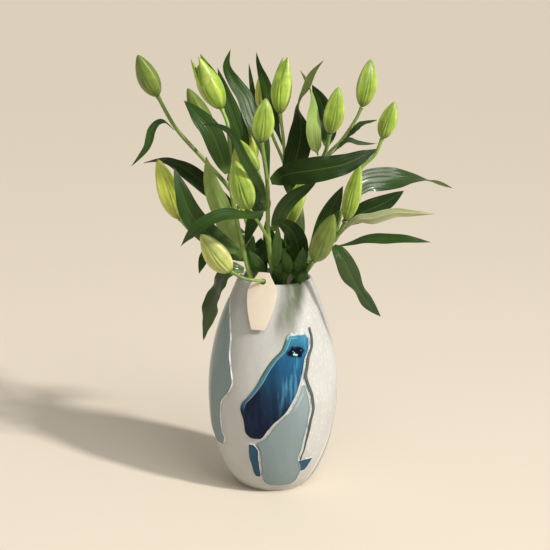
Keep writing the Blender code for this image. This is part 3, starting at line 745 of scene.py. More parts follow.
def blue_material(vase):
    """The blue window: navy low on its left, bright above, with a hollow near its top painted in as
    near-black shade with a painted glint, and a painted silver highlight along its top.
    """
    made = window_material("deep_blue_glass", vase.navy, vase.blue, (0.05, 0.20, 0.30))
    g = Graph(made.node_tree)
    base_colour = made.node_tree.nodes["Principled BSDF"].inputs["Base Color"]
    body, place = base_colour.links[0].from_socket, g.object_place()
    x, _, z = g.parts(place)
    across, _, rim = g.parts(g.mark("sheet"))
    drawn = g.noise(g.stretched(place, 1.0, 1.0, 0.10), 210.0)
    glow = g.times(g.between(drawn, 0.48, 0.66), g.between(across, 0.0, 0.35),
                   g.between(z, 0.11, 0.17))
    body = g.mix(g.times(glow, 0.6), body, (0.07, 0.27, 0.42))
    body = g.mix(g.times(g.between(z, 0.205, 0.240), 0.55), body, (0.06, 0.27, 0.38))
    # A hollow near the window's top, painted in as near-black shade with a painted glint in it.
    warp = g.times(g.minus(g.noise(place, 90.0, 2.0), 0.5), 0.010)
    wide = g.maths("DIVIDE", g.plus(g.minus(x, 0.0290), warp), 0.0125)
    tall = g.maths("DIVIDE", g.minus(g.minus(z, 0.2135), warp), 0.0080)
    far = g.maths("SQRT", g.plus(g.times(wide, wide), g.times(tall, tall)))
    body = g.mix(g.between(far, 1.15, 0.75), body, (0.001, 0.004, 0.014))
    glint = g.times(g.between(far, 0.75, 0.5), g.between(g.noise(place, 260.0, 1.0), 0.60, 0.66))
    body = g.mix(glint, body, (0.35, 0.62, 0.62))
    olive = g.times(g.between(rim, 0.0030, 0.0016), g.between(z, 0.160, 0.180),
                    g.between(across, 0.0, -0.3), 0.9)
    body = g.mix(olive, body, (0.085, 0.12, 0.015))
    # Painted silver highlight along the top rim of the window, broken up by noise.
    painted_light_breakup = g.between(g.noise(place, 160.0, 2.0), 0.35, 0.60, 0.35, 1.0)
    silver = g.times(g.between(rim, 0.0046, 0.0026), g.between(z, 0.228, 0.234), painted_light_breakup)
    g.put(base_colour, g.mix(silver, body, (0.56, 0.59, 0.59)))
    return made


class LILY_OT_glass_windows(bpy.types.Operator):
    """Build the polished windows of coloured glass fused on the vase"""
    bl_idname = "lily.glass_windows"
    bl_label = "Coloured glass"

    def execute(self, context):
        vase = context.scene.lily_vase
        blue = blue_material(vase)
        deep = window_material("deep_blue_sliver", (0.020, 0.075, 0.135), (0.06, 0.17, 0.27),
                               (0.12, 0.30, 0.36))
        grey = window_material("grey_green_glass", scaled(vase.grey, 0.75), vase.grey,
                               scaled(vase.grey, 1.15))
        pale = window_material("pale_blue_glass", scaled(vase.pale, 0.8), vase.pale,
                               scaled(vase.pale, 1.4))
        edge = window_material("glass_edge", (0.060, 0.085, 0.085), (0.12, 0.155, 0.15),
                               (0.045, 0.060, 0.060), -0.3)
        windows = (("blue_window", "glass_patch_blue", blue, "deep_blue_glass", BLUE_SEED, 0.0),
                   ("grey_window", "glass_patch_grey", grey, "grey_green_glass", GREY_SEED, 0.0),
                   ("blue_sliver", "glass_patch_sliver", deep, "deep_blue_glass", SLIVER_SEED,
                    0.022),
                   ("pale_window", "glass_patch_left", pale, "pale_blue_glass", PALE_SEED, 0.0))
        for name, node, material, slot_name, seed, spread in windows:
            add_piece(name, [read_sheet(node, vase, seed, spread)], material, slot_name, node)
        add_piece("glass_edge_band", [self.edge_band(vase)], edge, "grey_green_glass")
        # A dark sheet of painted shade between the sliver and the grey window.
        add_piece("groove_shade", [self.painted_groove_shade_sheet(vase)], edge, "grey_green_glass")
        add_piece("blue_chip", [self.corner_chip(vase)], deep, "deep_blue_glass")
        return {"FINISHED"}

    def edge_band(self, vase):
        """A narrow dark band of thick glass along the right of the blue and grey windows."""
        low, _, low_right = patch_rows("glass_patch_grey", vase)
        high, _, high_right = patch_rows("glass_patch_blue", vase)
        above, lit = high > low[-1] + 0.004, low > 0.046
        heights = np.concatenate([low[lit], high[above]])
        right = np.concatenate([low_right[lit], high_right[above]])
        at = np.linspace(heights[0], heights[-1] + 0.004, 140)
        edge = softened(heights, right, at, GREY_SEED, 0.004) + np.radians(0.7)
        width = np.radians(4.4 + 0.6 * smooth_step(0.16, 0.21, at)
                           - 1.2 * smooth_step(0.11, 0.07, at))
        return glass_sheet(vase, at, edge, edge + width, 0.0012, 0.0)

    def painted_groove_shade_sheet(self, vase):
        """A thin dark sheet of painted shade in the groove between the sliver and the grey window.
        """
        heights, _, start = patch_rows("glass_patch_sliver", vase)
        low, stop, _ = patch_rows("glass_patch_grey", vase)
        at = np.linspace(max(heights[0], low[0]) + 0.003, heights[-1] - 0.001, 40)
        left = softened(heights, start, at, SLIVER_SEED, 0.0) + 0.024
        right = softened(low, stop, at, GREY_SEED, 0.0) + 0.010
        return glass_sheet(vase, at, left, np.maximum(right, left + 0.02), 0.0005, 0.0)

    def corner_chip(self, vase):
        """A small blue window low on the right."""
        at = np.linspace(0.036, 0.056, 30)
        rise = (at - 0.036) / 0.020
        left = np.radians(31.0 - 5.0 * np.sin(math.pi * rise * 0.5))
        right = np.radians(36.0 + 9.0 * rise ** 0.6)
        return glass_sheet(vase, at, left, right, 0.0011, 0.0006)


# ---------------------------------------------------------------- the tag
TAG_NECK, TAG_FOOT, TAG_HOLE, TAG_HOLE_DROP, TAG_HALF_THICK = 0.0155, 0.019, 0.0045, 0.0125, 0.00045


def tag_outline(angles, height, width):
    """The tag's edge seen from its hole at angles from straight up: the outline is a narrow
    neck, round shoulders and a taper, met by a ray from the hole."""
    below = np.linspace(0, height, 400)
    down = below / height
    shoulder = np.sin(math.pi / 2 * np.clip(down / 0.36, 0, 1)) ** 1.3
    taper = 1 - np.cos(math.pi / 2 * np.clip((down - 0.36) / 0.64, 0, 1))
    half = np.where(down < 0.36, TAG_NECK + (width - TAG_NECK) * shoulder,
                    width + (TAG_FOOT - width) * taper) / 2
    flat = np.linspace(0, 1, 40)
    x = np.concatenate([half[0] * flat, half, half[-1] * flat[::-1]])
    y = TAG_HOLE_DROP - np.pad(below, 40, "edge")
    ray = np.arctan2(x, y)
    order = np.argsort(ray)
    turn = np.abs((angles + math.pi) % math.tau - math.pi)
    reach = np.interp(turn, ray[order], np.hypot(x, y)[order])
    return np.stack([reach * np.sin(angles), reach * np.cos(angles)], -1)


def tag_frame():
    """How the tag hangs in the model: its hole's centre, its directions to the side, up and out
    of its face, its height and its width."""
    places = np.unique(np.round(node_points("gift_tag").astype(float), 6), axis=0)
    middle = places.mean(0)
    out = unit(middle * (1, 1, 0))
    side = unit(np.cross([0.0, 0.0, 1.0], out))
    around = places - middle
    lean = np.polyfit(around[:, 2], around @ out, 1)[0]
    up = unit(np.array([0.0, 0.0, 1.0]) + lean * out)
    face = np.cross(side, up)
    across, high = around @ side, around @ up
    hole = (middle + side * (across.max() + across.min()) / 2
            + up * (high.max() - TAG_HOLE_DROP) + face * (around @ face).mean())
    return hole, side, up, face, np.ptp(high), np.ptp(across)


def tag_skin():
    """A sheet of card round its hole: out across the front to the rounded rim and back across
    the rear to the hole, the whole of it curled a little."""
    hole, side, up, face, height, width = tag_frame()
    angles, steps, depth = full_turn(180), 26, TAG_HALF_THICK
    rim = tag_outline(angles, height, width)
    ring = TAG_HOLE * np.stack([np.sin(angles), np.cos(angles)], -1)
    way = np.concatenate([np.linspace(0, 1, steps), np.full(5, 1.0),
                          np.linspace(1, 0, steps), np.full(5, 0.0)])
    turn = np.linspace(math.pi / 2, -math.pi / 2, 7)[1:-1]
    out_of = depth * np.concatenate([np.full(steps, 1.0), np.sin(turn), np.full(steps, -1.0),
                                     -np.sin(turn)])
    past = depth * np.concatenate([np.zeros(steps), np.cos(turn), np.zeros(steps), -np.cos(turn)])
    flat = ring + (rim - ring) * way[:, None, None] + past[:, None, None] * unit(rim)
    curl = 0.0022 * (flat[..., 1] / height) ** 2 + 0.0012 * (flat[..., 0] / 0.02) ** 2
    return skin(hole + flat[..., :1] * side + flat[..., 1:] * up
                + (out_of[:, None, None] - curl[..., None]) * face, ring=True)


def card_material(vase):
    """Uncoated card: soft fibres, faint tone changes and a fine tooth."""
    made, g, surface = new_material("tag_card", Sheen_Weight=0.15)
    place = g.object_place()
    fibre = g.noise(g.stretched(place, 1.0, 1.0, 0.35), 900.0, 4.0, 0.65)
    tone = g.plus(g.times(fibre, 0.10), g.times(g.noise(place, 45.0), 0.14))
    body = g.brighter(vase.card, g.plus(0.88, tone))
    finish_surface(g, surface, body, g.between(fibre, 0.2, 0.8, 0.70, 0.85), fibre, 0.2, 0.0002)
    return made


class LILY_OT_tag(bpy.types.Operator):
    """Build the cream card tag with its punched hole"""
    bl_idname = "lily.tag"
    bl_label = "Tag"

    def execute(self, context):
        add_piece("card_tag", [tag_skin()], card_material(context.scene.lily_vase), "tag_card",
                  "gift_tag")
        return {"FINISHED"}


# ---------------------------------------------------------------- stems and stalks
# Courses in millimetres from the centre of the mouth. A stem stands on the vase's floor and
# leans on the lip at `lean` degrees round the vase, `out_by` of the way from its middle, before
# its course starts. Each stalk leaves it at a height above the mouth.
STEMS = {
    "stem_left_back": (150, 1, [(-35, 32, 44), (-46, 42, 82), (-67, 42, 117), (-103, 39, 158),
                                (-140, 36, 200), (-164, 30, 244)], [
        (51, [(-70, 18, 54), (-110, -3, 59), (-132, -12, 82)])]),
    "stem_left_front": (217, 1, [(-40, -30, 29), (-47, -38, 60), (-55, -48, 102), (-61, -48, 137),
                                 (-63, -42, 188), (-66, -33, 216), (-74, -24, 235)], [
        (154, [(-74, -9, 180), (-89, 22, 192)]),
        (98, [(-50, -30, 106), (-45, -21, 121)])]),
    "stem_center": (268, 0.7, [(-6, -34, 28), (-10, -48, 69), (-11, -60, 113), (-12, -63, 144),
                               (-17, -66, 179), (-20, -67, 198)], [
        (115, [(-19, -21, 132), (-27, 24, 138), (-31, 36, 153)]),
        (112, [(-18, -46, 137), (-25, -33, 152)]),
        (59, [(-18, -66, 82), (-29, -81, 102), (-35, -85, 111)]),
        (2, [(-12, -43, 4), (-17, -56, 7), (-25, -66, 10), (-42, -71, 14), (-59, -71, 23)])]),
    "stem_right_front": (336, 0.95, [(51, -23, 26), (66, -33, 46), (82, -45, 66), (94, -56, 92)], [
        (62, [(88, -37, 96), (98, -26, 126), (115, -18, 157), (133, -15, 175), (142, -15, 197)]),
        (8, [(45, -39, 19), (53, -59, 37)])]),
    "stem_right_back": (66, 1, [(18, 42, 20), (19, 52, 44), (22, 63, 74), (33, 55, 110),
                                (52, 36, 144), (66, 15, 171), (72, 3, 200)], [
        (93, [(9, 84, 149), (-7, 91, 185), (-12, 93, 208)]),
        (100, [(14, 36, 141), (9, 18, 188), (4, 18, 224)]),
        (153, [(73, 36, 169), (91, 42, 187), (109, 46, 214), (117, 48, 231)]),
        (22, [(14, 27, 41), (14, 13, 65)])]),
}
STEM_RADIUS, STEM_TIP_RADIUS, STALK_RADIUS = 0.0042, 0.0026, 0.0023
FOOT_REACH = 0.032


def stem_knots(vase, lean, out_by, course):
    """A stem's knots: its cut end on the floor, its place at the lip, and its course."""
    foot_turn, lip_turn = math.radians(lean + 115), math.radians(lean)
    reach = out_by * (vase.mouth_radius - vase.wall - STEM_RADIUS - 0.0012)
    tilt = math.atan2(FOOT_REACH + vase.mouth_radius, MOUTH_HEIGHT)
    foot = (FOOT_REACH * math.cos(foot_turn), FOOT_REACH * math.sin(foot_turn),
            vase.floor + 0.0003 + STEM_RADIUS * math.sin(tilt))
    lip = (reach * math.cos(lip_turn), reach * math.sin(lip_turn), MOUTH_HEIGHT)
    return np.vstack([[foot, lip], from_mouth(course)])


def stem_skin(line, low, high, bulges):
    """A round stem that tapers from a low to a high radius, flares under its bud, and swells
    where a stalk or leaf leaves it, with a slow unevenness along it."""
    way = np.linspace(0, 1, 40 + int(travelled(line)[-1] / 0.0016))
    path = at_shares(line, way)
    at = travelled(path)
    radii = low + (high - low) * way + 0.00010 * np.sin(at / 0.0083) * np.sin(at / 0.031)
    radii = radii + 0.0009 * np.exp(-(at[-1] - at) / 0.0030)
    for bulge in bulges:
        radii = radii + 0.0009 * np.exp(-((at - bulge) / 0.0045) ** 2)
    return tube(path, radii, 20)


def stem_material(plant):
    """Smooth green skin, paler and yellower in long patches, with fine purple-brown specks."""
    made, g, surface = new_material("stem_green")
    place = g.object_place()
    patch = g.noise(g.stretched(place, 1.0, 1.0, 0.3), 40.0)
    line = g.noise(g.stretched(place, 1.0, 1.0, 0.04), 900.0)
    body = g.mix(g.between(patch, 0.35, 0.7), plant.stem, scaled(plant.stem, 1.7))
    specks = g.between(g.noise(place, 420.0, 2.0), 0.64, 0.74)
    body = g.mix(g.times(specks, 0.5), body, (0.09, 0.05, 0.03))
    body = g.brighter(body, g.plus(0.8, g.times(line, 0.4)))
    finish_surface(g, surface, body, g.between(patch, 0.2, 0.8, 0.32, 0.46), line, 0.25, 0.0003)
    return made


class LILY_OT_stems(bpy.types.Operator):
    """Build the five stems with their side stalks"""
    bl_idname = "lily.stems"
    bl_label = "Stems"

    def execute(self, context):
        scene = context.scene
        material = stem_material(scene.lily_plant)
        for name, (lean, out_by, course, stalks) in STEMS.items():
            knots = stem_knots(scene.lily_vase, lean, out_by, course)
            line = rounded_line(np.vstack([knots, knots[-1:] * 2 - knots[-2:-1]]))[:-SPAN_STEPS]
            skins, bulges = [], []
            for height, stalk in stalks:
                start = int((line[:, 2] >= MOUTH_HEIGHT + height * MM).argmax())
                bulges.append(travelled(line)[start])
                route = rounded_line(np.vstack([line[start], from_mouth(stalk)]))
                skins.append(stem_skin(route, STALK_RADIUS, STALK_RADIUS, [0.0]))
            skins.insert(0, stem_skin(line, STEM_RADIUS, STEM_TIP_RADIUS, bulges))
            add_piece(name.replace("stem", "lily_stem"), skins, material, "stem_green", name)
        return {"FINISHED"}


# ---------------------------------------------------------------- buds
def bud_profile(way):
    """A bud's radius along its length as a share of its widest."""
    return np.sin(math.pi * np.clip(way, 0, 1) ** 0.80) ** 0.68


def bud_skin(line, radius, rib, roll, closed_to):
    """A lily bud: its section is a circle with a broad lobe for each of three outer tepals, a
    keel down the middle of each, and a pair of fine seams between them that draw together up
    the bud, with the inner tepal showing as a strip between the seams."""
    way = np.sin(np.linspace(0, math.pi / 2, 60)[1:]) ** 2 * closed_to
    path = at_shares(line, way)
    along = heading(path)
    level = square_to(along, FRONT)
    turn, up = full_turn(120), way[:, None]
    seen = (turn - roll + math.pi / 3) % (math.tau / 3) - math.pi / 3
    from_seam = math.pi / 3 - np.abs(seen)
    apart = 0.26 * np.clip(1 - up / 0.80, 0, 1) ** 0.8
    seam = np.exp(-((from_seam - apart) / 0.075) ** 2)
    inner = np.clip(1 - from_seam / np.maximum(apart, 1e-3), 0, 1)
    lobe, keel = np.cos(3 * seen), np.exp(-(seen / 0.16) ** 2)
    valley = np.exp(-((np.abs(seen) - 0.40) / 0.20) ** 2)
    strong = np.sin(math.pi * np.clip(up, 0.02, 0.98) ** 0.9) ** 0.5
    relief = rib * strong * (0.60 * lobe + 0.60 * keel - 0.45 * valley - 0.55 * seam
                             + 0.30 * inner)
    size = radius * bud_profile(up)
    if closed_to < 1:
        size = size * (1 - 0.14 * smooth_step(0.5, 0.8, up))
        size = size * np.sqrt(np.clip(1 - (up / closed_to) ** 14, 0, 1))
    reach = size * (1 + relief)
    grid = path[:, None] + circles(turn, level, np.cross(along, level)) * reach[..., None]
    # Ridge mark: the pale keel's own colour, plus painted highlight on the bulging lobes and painted
    # shade in the valleys.
    ridge = np.clip(0.42 + 0.35 * lobe + 0.45 * keel - 0.30 * valley, 0, 1)
    return skin(grid, {
        "turn": over(reach.shape, np.cos(turn), np.sin(turn), up),
        "rib": over(reach.shape, ridge * (0.3 + 0.7 * strong), seam, inner * (apart > 0.01))})


def tepal_tip(line, radius, roll, flare):
    """The free pointed end of one outer tepal: a narrow blade that starts on the bud's side and
    leaves it in a curve, rounded outside and hollow inside."""
    path = at_shares(line, np.array([0.45, 0.62, 0.78, 0.90, 1.0]))
    along = heading(path)
    level = square_to(along, FRONT)
    outward = math.cos(roll) * level + math.sin(roll) * np.cross(along, level)
    away = radius * np.array([0.93, 0.90, 0.74, 0.58, 0.44])
    if flare < 0.001:
        away = away * np.array([1.0, 0.99, 0.90, 0.74, 0.55])
    away = away + flare * np.array([0.0, 0.03, 0.2, 0.6, 1.0])
    knots = path + outward * away[:, None]
    course, shares = rounded_line(knots), np.linspace(0, 1, 34)[:-1]
    spine = at_shares(course, shares)
    tangent = heading(spine)
    raised = rounded_line(knots + outward * 0.01) - course
    out = square_to(tangent, at_shares(course, shares, raised))
    side = np.cross(tangent, out)
    turn, up = full_turn(40), shares[:, None]
    across = np.cos(turn)
    half = radius * 0.82 * (1 - up ** 1.35) ** 0.95
    arch = -0.55 * half * across ** 2 - 0.0012 * np.exp(-up / 0.08)
    height = arch + np.minimum(0.0009, half * 0.4) * np.sin(turn)
    grid = (spine[:, None] + side[:, None] * (half * across)[..., None]
            + out[:, None] * height[..., None])
    # Paler along the tip's middle, partly its midrib's own colour and partly painted highlight, and
    # darker at its edges as painted shade.
    return skin(grid, {
        "turn": over(height.shape, math.cos(roll), math.sin(roll), 0.45 + 0.55 * up),
        "rib": over(height.shape, 1 - across ** 2, across ** 6 * 0.5, 0.0)})


# For each bud: its kind of green (the dark kind is painted shade), how far its ribs are turned
# from the front in degrees, the rib height against the usual, and how far its tips stand open in
# millimetres.
BUDS = {
    "bud_far_left": ("dark", 35, 0.8, 0), "bud_left_top": ("pale", 21, 1.1, 1.2),
    "bud_center_high": ("fresh", 62, 1.0, 0), "bud_right_upright": ("fresh", 48, 1.0, 0),
    "bud_right_center": ("fresh", 65, 1.0, 0), "bud_left_shaded": ("dark", 20, 0.9, 0),
    "bud_back_tall": ("yellow", 30, 0.9, 0), "bud_top": ("pale", 40, 1.0, 0.3),
    "bud_opening_back": ("yellow", 30, 1.0, 1.5), "bud_small_center": ("fresh", 40, 0.8, 0),
    "bud_center_front": ("fresh", 50, 1.25, 0), "bud_center_hidden": ("yellow", 10, 0.9, 0),
    "bud_left": ("yellow", 75, 1.0, 0), "bud_left_low": ("cream", 55, 1.1, 0),
    "bud_right_tall": ("fresh", 70, 1.0, 0), "bud_far_right": ("fresh", 50, 0.8, 0),
    "bud_center_low": ("fresh", 45, 1.0, 0), "bud_right_low": ("dark", 52, 0.9, 0),
}


def bud_kinds(plant):
    """The buds' greens: body, ridge, seam and tip colours of each kind. The dark kind is a darker
    copy of the bud green that paints shade.
    """
    bud, light = plant.bud, plant.bud_light
    kinds = {"fresh": (bud, light, (0.30, 0.34, 0.06)),
             "pale": (scaled(bud, 1.25), scaled(light, 1.1), (0.22, 0.16, 0.05)),
             "yellow": (scaled(bud, 1.1, (1, 0.8, 0.1), 0.2),
                        scaled(light, 1.0, (1, 0.8, 0.2), 0.2), (0.30, 0.17, 0.03)),
             # Darker copy of the bud green: painted shade.
             "dark": (scaled(bud, 0.55), scaled(light, 0.45), (0.12, 0.16, 0.03)),
             "cream": (scaled(light, 0.7), (0.72, 0.67, 0.30), (0.30, 0.30, 0.09))}
    return {kind: patterned("bud_" + kind, bud_pattern(),
                            (body, ridge, plant.bud_dark, tip, 3.1 * n), 0.35, 0.0005,
                            Coat_Weight=0.12, Coat_Roughness=0.25)
            for n, (kind, (body, ridge, tip)) in enumerate(kinds.items())}


class LILY_OT_buds(bpy.types.Operator):
    """Build the eighteen buds, closed or with their tips just parting"""
    bl_idname = "lily.buds"
    bl_label = "Buds"

    def execute(self, context):
        plant = context.scene.lily_plant
        kinds = bud_kinds(plant)
        for name, (kind, roll, strength, open_tips) in BUDS.items():
            line, radius = read_bud(name)
            line = rounded_line(line)
            roll = math.radians(roll)
            closed_to = 1.0 if not open_tips else 0.95 if open_tips < 1 else 0.86
            skins = [bud_skin(line, radius, plant.rib * strength, roll, closed_to)]
            if open_tips:
                skins += [tepal_tip(line, radius, roll + n * math.tau / 3, open_tips * MM)
                          for n in range(3)]
            add_piece(name.replace("bud", "lily_bud"), skins, kinds[kind], "bud_green", name)
        return {"FINISHED"}


# ---------------------------------------------------------------- leaves
LEAF_FOLD, LEAF_DROOP = 0.12, 0.05


def blade_skin(line, half, side, top, seed, wave):
    """A lily leaf: its section is a shallow V at the midrib whose halves bow back toward their
    edges, with three long pleats a side and a thicker midrib below. Its edges rise and fall in
    slow waves, out of step with each other. It narrows to a drawn-out point."""
    rows, turn = 90, full_turn(80)
    way = (np.arange(rows) / rows) ** 0.92
    along, width = way[:, None], np.interp(way, shares_along(line), half)[:, None]
    across, upper = np.cos(turn), np.sin(turn)
    side, top = unit(at_shares(line, way, side)), unit(at_shares(line, way, top))
    off = np.abs(across)
    body = np.sin(math.pi * along) ** 0.7
    veed = width * (LEAF_FOLD * 2 * np.sqrt(across ** 2 + 0.0025) - LEAF_DROOP * 2 * across ** 2)
    pleat = 0.00016 * np.cos(math.tau * 3 * off) * body
    step = np.where(across > 0, 0.0, 1.9)
    rate = 2.1 + 0.7 * math.sin(seed * 7.0)
    ripple = (np.sin(math.tau * rate * along + seed + step)
              + 0.45 * np.sin(math.tau * 2.3 * rate * along + 2 * seed - step))
    waved = wave * half.max() * off ** 2.4 * body * ripple
    thick = (0.00022 + 0.00022 * (1 - off)) * upper
    keel = -0.0007 * np.exp(-(across * width / 0.0011) ** 2) * (upper < 0) * body
    height = veed + pleat + waved + thick + keel
    grid = (at_shares(line, way)[:, None] + side[:, None] * (width * across)[..., None]
            + top[:, None] * height[..., None])
    marks = over(height.shape, across, along, upper > 0)
    point = np.broadcast_to(line[-1], grid[-1:].shape)
    return skin(np.concatenate([grid, point]), {"blade": np.concatenate([marks, marks[-1:]])})


def softly(values):
    """Values along a line with their corners eased, the ends left where they are."""
    weight = np.hanning(23)[1:-1]
    return np.convolve(np.pad(values, 10, "reflect", reflect_type="odd"), weight / weight.sum(),
                       "valid")


def leaf_width(way):
    """A leaf's width along it as a share of its widest: narrow base, full middle, long point."""
    blade = np.sin(math.pi * np.clip(way, 0, 1) ** 0.85) ** 0.85
    return blade * (1 - 0.24 * (1 - way)) + 0.24 * (1 - way) ** 3


def fine_course(centres, halves, side, top):
    """A leaf's course at close points: the rounded curve through its centres, with its widths
    and directions eased from one centre to the next."""
    line = rounded_line(centres)
    way, steps = shares_along(line), shares_along(centres)
    side, top = (np.stack([softly(np.interp(way, steps, column)) for column in rows.T], -1)
                 for rows in (side, top))
    return line, softly(np.interp(way, steps, halves)), unit(side), unit(top)


LEAF_NODES = sorted(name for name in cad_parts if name.startswith("leaf_"))
# How a leaf looks: kind of green (the dark kind is painted shade, the fresh kind painted light),
# edge wave and width against the usual, the share of the length over which the base stays narrow,
# where the blade turns about its own line, by how many degrees, and how much it narrows there.
Look = namedtuple("Look", "kind wave width neck turn_at turn waist",
                  defaults=("usual", 1.0, 1.1, 0.0, 0.5, 0, 0.0))
LEAF_LOOKS = {
    "leaf_01": Look("usual", 1.0, 0.9, 0.2, 0.6, 40), "leaf_02": Look("dark", 1.2, 0.9, 0, 0.7, 50),
    "leaf_03": Look("usual", 0.8, 1.15), "leaf_04": Look("pale", 0.5, 1.15),
    "leaf_05": Look("usual", 1.3, 1.15, 0.2, 0.85, 120),
    "leaf_07": Look("glossy", 1.5, 1.8, 0, 0.55, 40),
    "leaf_08": Look("usual", 1.0, 1.5, 0.42, 0.72, 70),
    "leaf_10": Look("usual", 1.0, 1.35, 0.3, 0.75, 60), "leaf_12": Look("usual", 0.6, 1.2),
    "leaf_13": Look("usual", 1.3, 1.3), "leaf_14": Look("dark", 1.0, 1.3, 0, 0.60, 75),
    "leaf_15": Look("pale", 0.8, 1.3, 0.1), "leaf_16": Look("dark", 1.0, 1.5),
    "leaf_18": Look("glossy", 0.8), "leaf_19": Look("dark", 1.5),
    "leaf_20": Look("glossy", 0.8, 1.25, 0, 0.77, 35, 0.25), "leaf_21": Look("dark", 1.0, 1.5),
    "leaf_22": Look("silver", 0.9, 1.2, 0.36), "leaf_23": Look("usual", 1.0, 1.45, 0.32),
    "leaf_24": Look("glossy", 0.7, 1.35, 0, 0.60, 20, 0.45), "leaf_25": Look("usual", 1.0, 1.4),
    "leaf_27": Look("dark", 1.4, 1.2), "leaf_28": Look("fresh", 0.8),
}


def turned_blade(course, look):
    """A leaf's course with its base kept narrow, its blade turned and its waist drawn in."""
    line, half, side, top = course
    way = shares_along(line)
    if look.neck:
        half = half * (0.34 + 0.66 * smooth_step(look.neck * 0.3, look.neck * 1.3, way))
    half = half * (1 - look.waist * np.exp(-((way - look.turn_at) / 0.13) ** 2))
    turn = math.radians(look.turn) * smooth_step(look.turn_at - 0.20, look.turn_at + 0.20, way)
    cosine, sine = np.cos(turn)[:, None], np.sin(turn)[:, None]
    return line, half * look.width, cosine * side + sine * top, cosine * top - sine * side


def leaf_kinds(plant):
    """The leaves' materials by kind, made on their first use: colours above and below, the
    weight of the coat and the strength of the gloss under it. The dark kind is a darker copy of
    the usual green, painted shade, and the fresh kind a lighter copy, painted light."""
    leaf, under = plant.leaf, plant.leaf_under
    kinds = {"usual": (leaf, under, 0.0, 0.25),
             # Dark: a darker copy of the green, painted shade. Fresh: a lighter copy, painted light.
             "dark": (scaled(leaf, 0.5), scaled(under, 0.7), 0.0, 0.15),
             "fresh": (scaled(leaf, 1.8), under, 0.0, 0.25),
             "glossy": (leaf, under, 0.4, 0.35),
             "pale": (scaled(under, 1.8), scaled(under, 1.9), 0.0, 0.2),
             "silver": (scaled(under, 1.2), (0.34, 0.37, 0.19), 0.1, 0.4)}
    if "leaf_usual" in bpy.data.materials:
        return {kind: bpy.data.materials["leaf_" + kind] for kind in kinds}
    return {kind: patterned("leaf_" + kind, blade_pattern(),
                            (above, below, plant.leaf_vein, (0.16, 0.10, 0.03), 5.0, 2.7 * n),
                            0.5, 0.0005, Coat_Weight=coat, Coat_Roughness=0.12,
                            Specular_IOR_Level=gloss)
            for n, (kind, (above, below, coat, gloss)) in enumerate(kinds.items())}


class LILY_OT_leaves(bpy.types.Operator):
    """Build the thirty-one leaves along their courses in the model"""
    bl_idname = "lily.leaves"
    bl_label = "Leaves"

    def execute(self, context):
        plant = context.scene.lily_plant
        kinds = leaf_kinds(plant)
        for seed, name in enumerate(LEAF_NODES):
            look = LEAF_LOOKS.get(name[:7], Look())
            course = turned_blade(fine_course(*read_blade(name)), look)
            add_piece(name.replace("leaf_", "lily_leaf_"),
                      [blade_skin(*course, 1.7 * seed, plant.wave * look.wave)],
                      kinds[look.kind], "leaf_green", name)
        return {"FINISHED"}


# Small leaves deep in the bunch: course in millimetres from the mouth, width, and which way the
# upper side looks.
SMALL_LEAVES = {
    "inner_leaf_01": ([(-14, -30, 6), (-22, -34, 26), (-36, -36, 44)], 14, (0, -1, 0.3)),
    "inner_leaf_02": ([(10, -26, 4), (16, -34, 24), (12, -38, 46)], 18, (0, -1, 0.2)),
    "inner_leaf_03": ([(26, -20, 2), (34, -26, 22), (38, -28, 48)], 20, (0.2, -1, 0.2)),
    "inner_leaf_04": ([(-2, -36, 2), (2, -42, 14), (8, -44, 30)], 14, (0, -1, 0.4)),
    "inner_leaf_05": ([(-24, -4, 4), (-34, -8, 30), (-30, -12, 60)], 18, (0, -1, 0.2)),
    "inner_leaf_06": ([(20, 10, 2), (26, 8, 34), (18, 4, 70)], 24, (0, -1, 0.1)),
    "inner_leaf_07": ([(0, 14, 4), (-6, 16, 40), (-14, 16, 76)], 24, (0, -1, 0.1)),
    "inner_leaf_10": ([(2, -34, -6), (8, -42, 8), (20, -46, 14)], 16, (0, -1, 0.6)),
    "inner_leaf_11": ([(30, 6, -4), (40, 14, 20), (34, 18, 44)], 26, (0, -1, 0.2)),
    "inner_leaf_12": ([(8, 24, -4), (12, 30, 22), (4, 32, 50)], 30, (0, -1, 0.2)),
    "inner_leaf_13": ([(-16, 20, -4), (-24, 26, 20), (-20, 30, 48)], 28, (0, -1, 0.2)),
    "inner_leaf_14": ([(22, -30, -4), (34, -38, 6), (46, -38, 20)], 14, (0.2, -1, 0.5)),
    "inner_leaf_08": ([(14, 36, 8), (30, 62, 40), (38, 84, 84)], 22, (0, 1, 0.3)),
    "inner_leaf_09": ([(-20, 30, 10), (-50, 60, 44), (-84, 84, 66)], 22, (0, 1, 0.4)),
}


class LILY_OT_small_leaves(bpy.types.Operator):
    """Build the small leaves deep in the bunch"""
    bl_idname = "lily.small_leaves"
    bl_label = "Small leaves"

    def execute(self, context):
        plant = context.scene.lily_plant
        kinds = leaf_kinds(plant)
        for seed, (name, (course, width, looks)) in enumerate(SMALL_LEAVES.items()):
            line = rounded_line(from_mouth(course))
            half = width * MM / 2 * leaf_width(shares_along(line))
            along = heading(line)
            side = unit(np.cross(along, looks))
            leaf = blade_skin(line, half, side, np.cross(side, along), 0.9 + 2.3 * seed,
                              plant.wave)
            # Every fourth small leaf gets the fresh kind, a lighter copy of the green that paints
            # light.
            add_piece(name, [leaf], kinds["fresh" if seed % 4 == 1 else "usual"], "leaf_green")
        return {"FINISHED"}


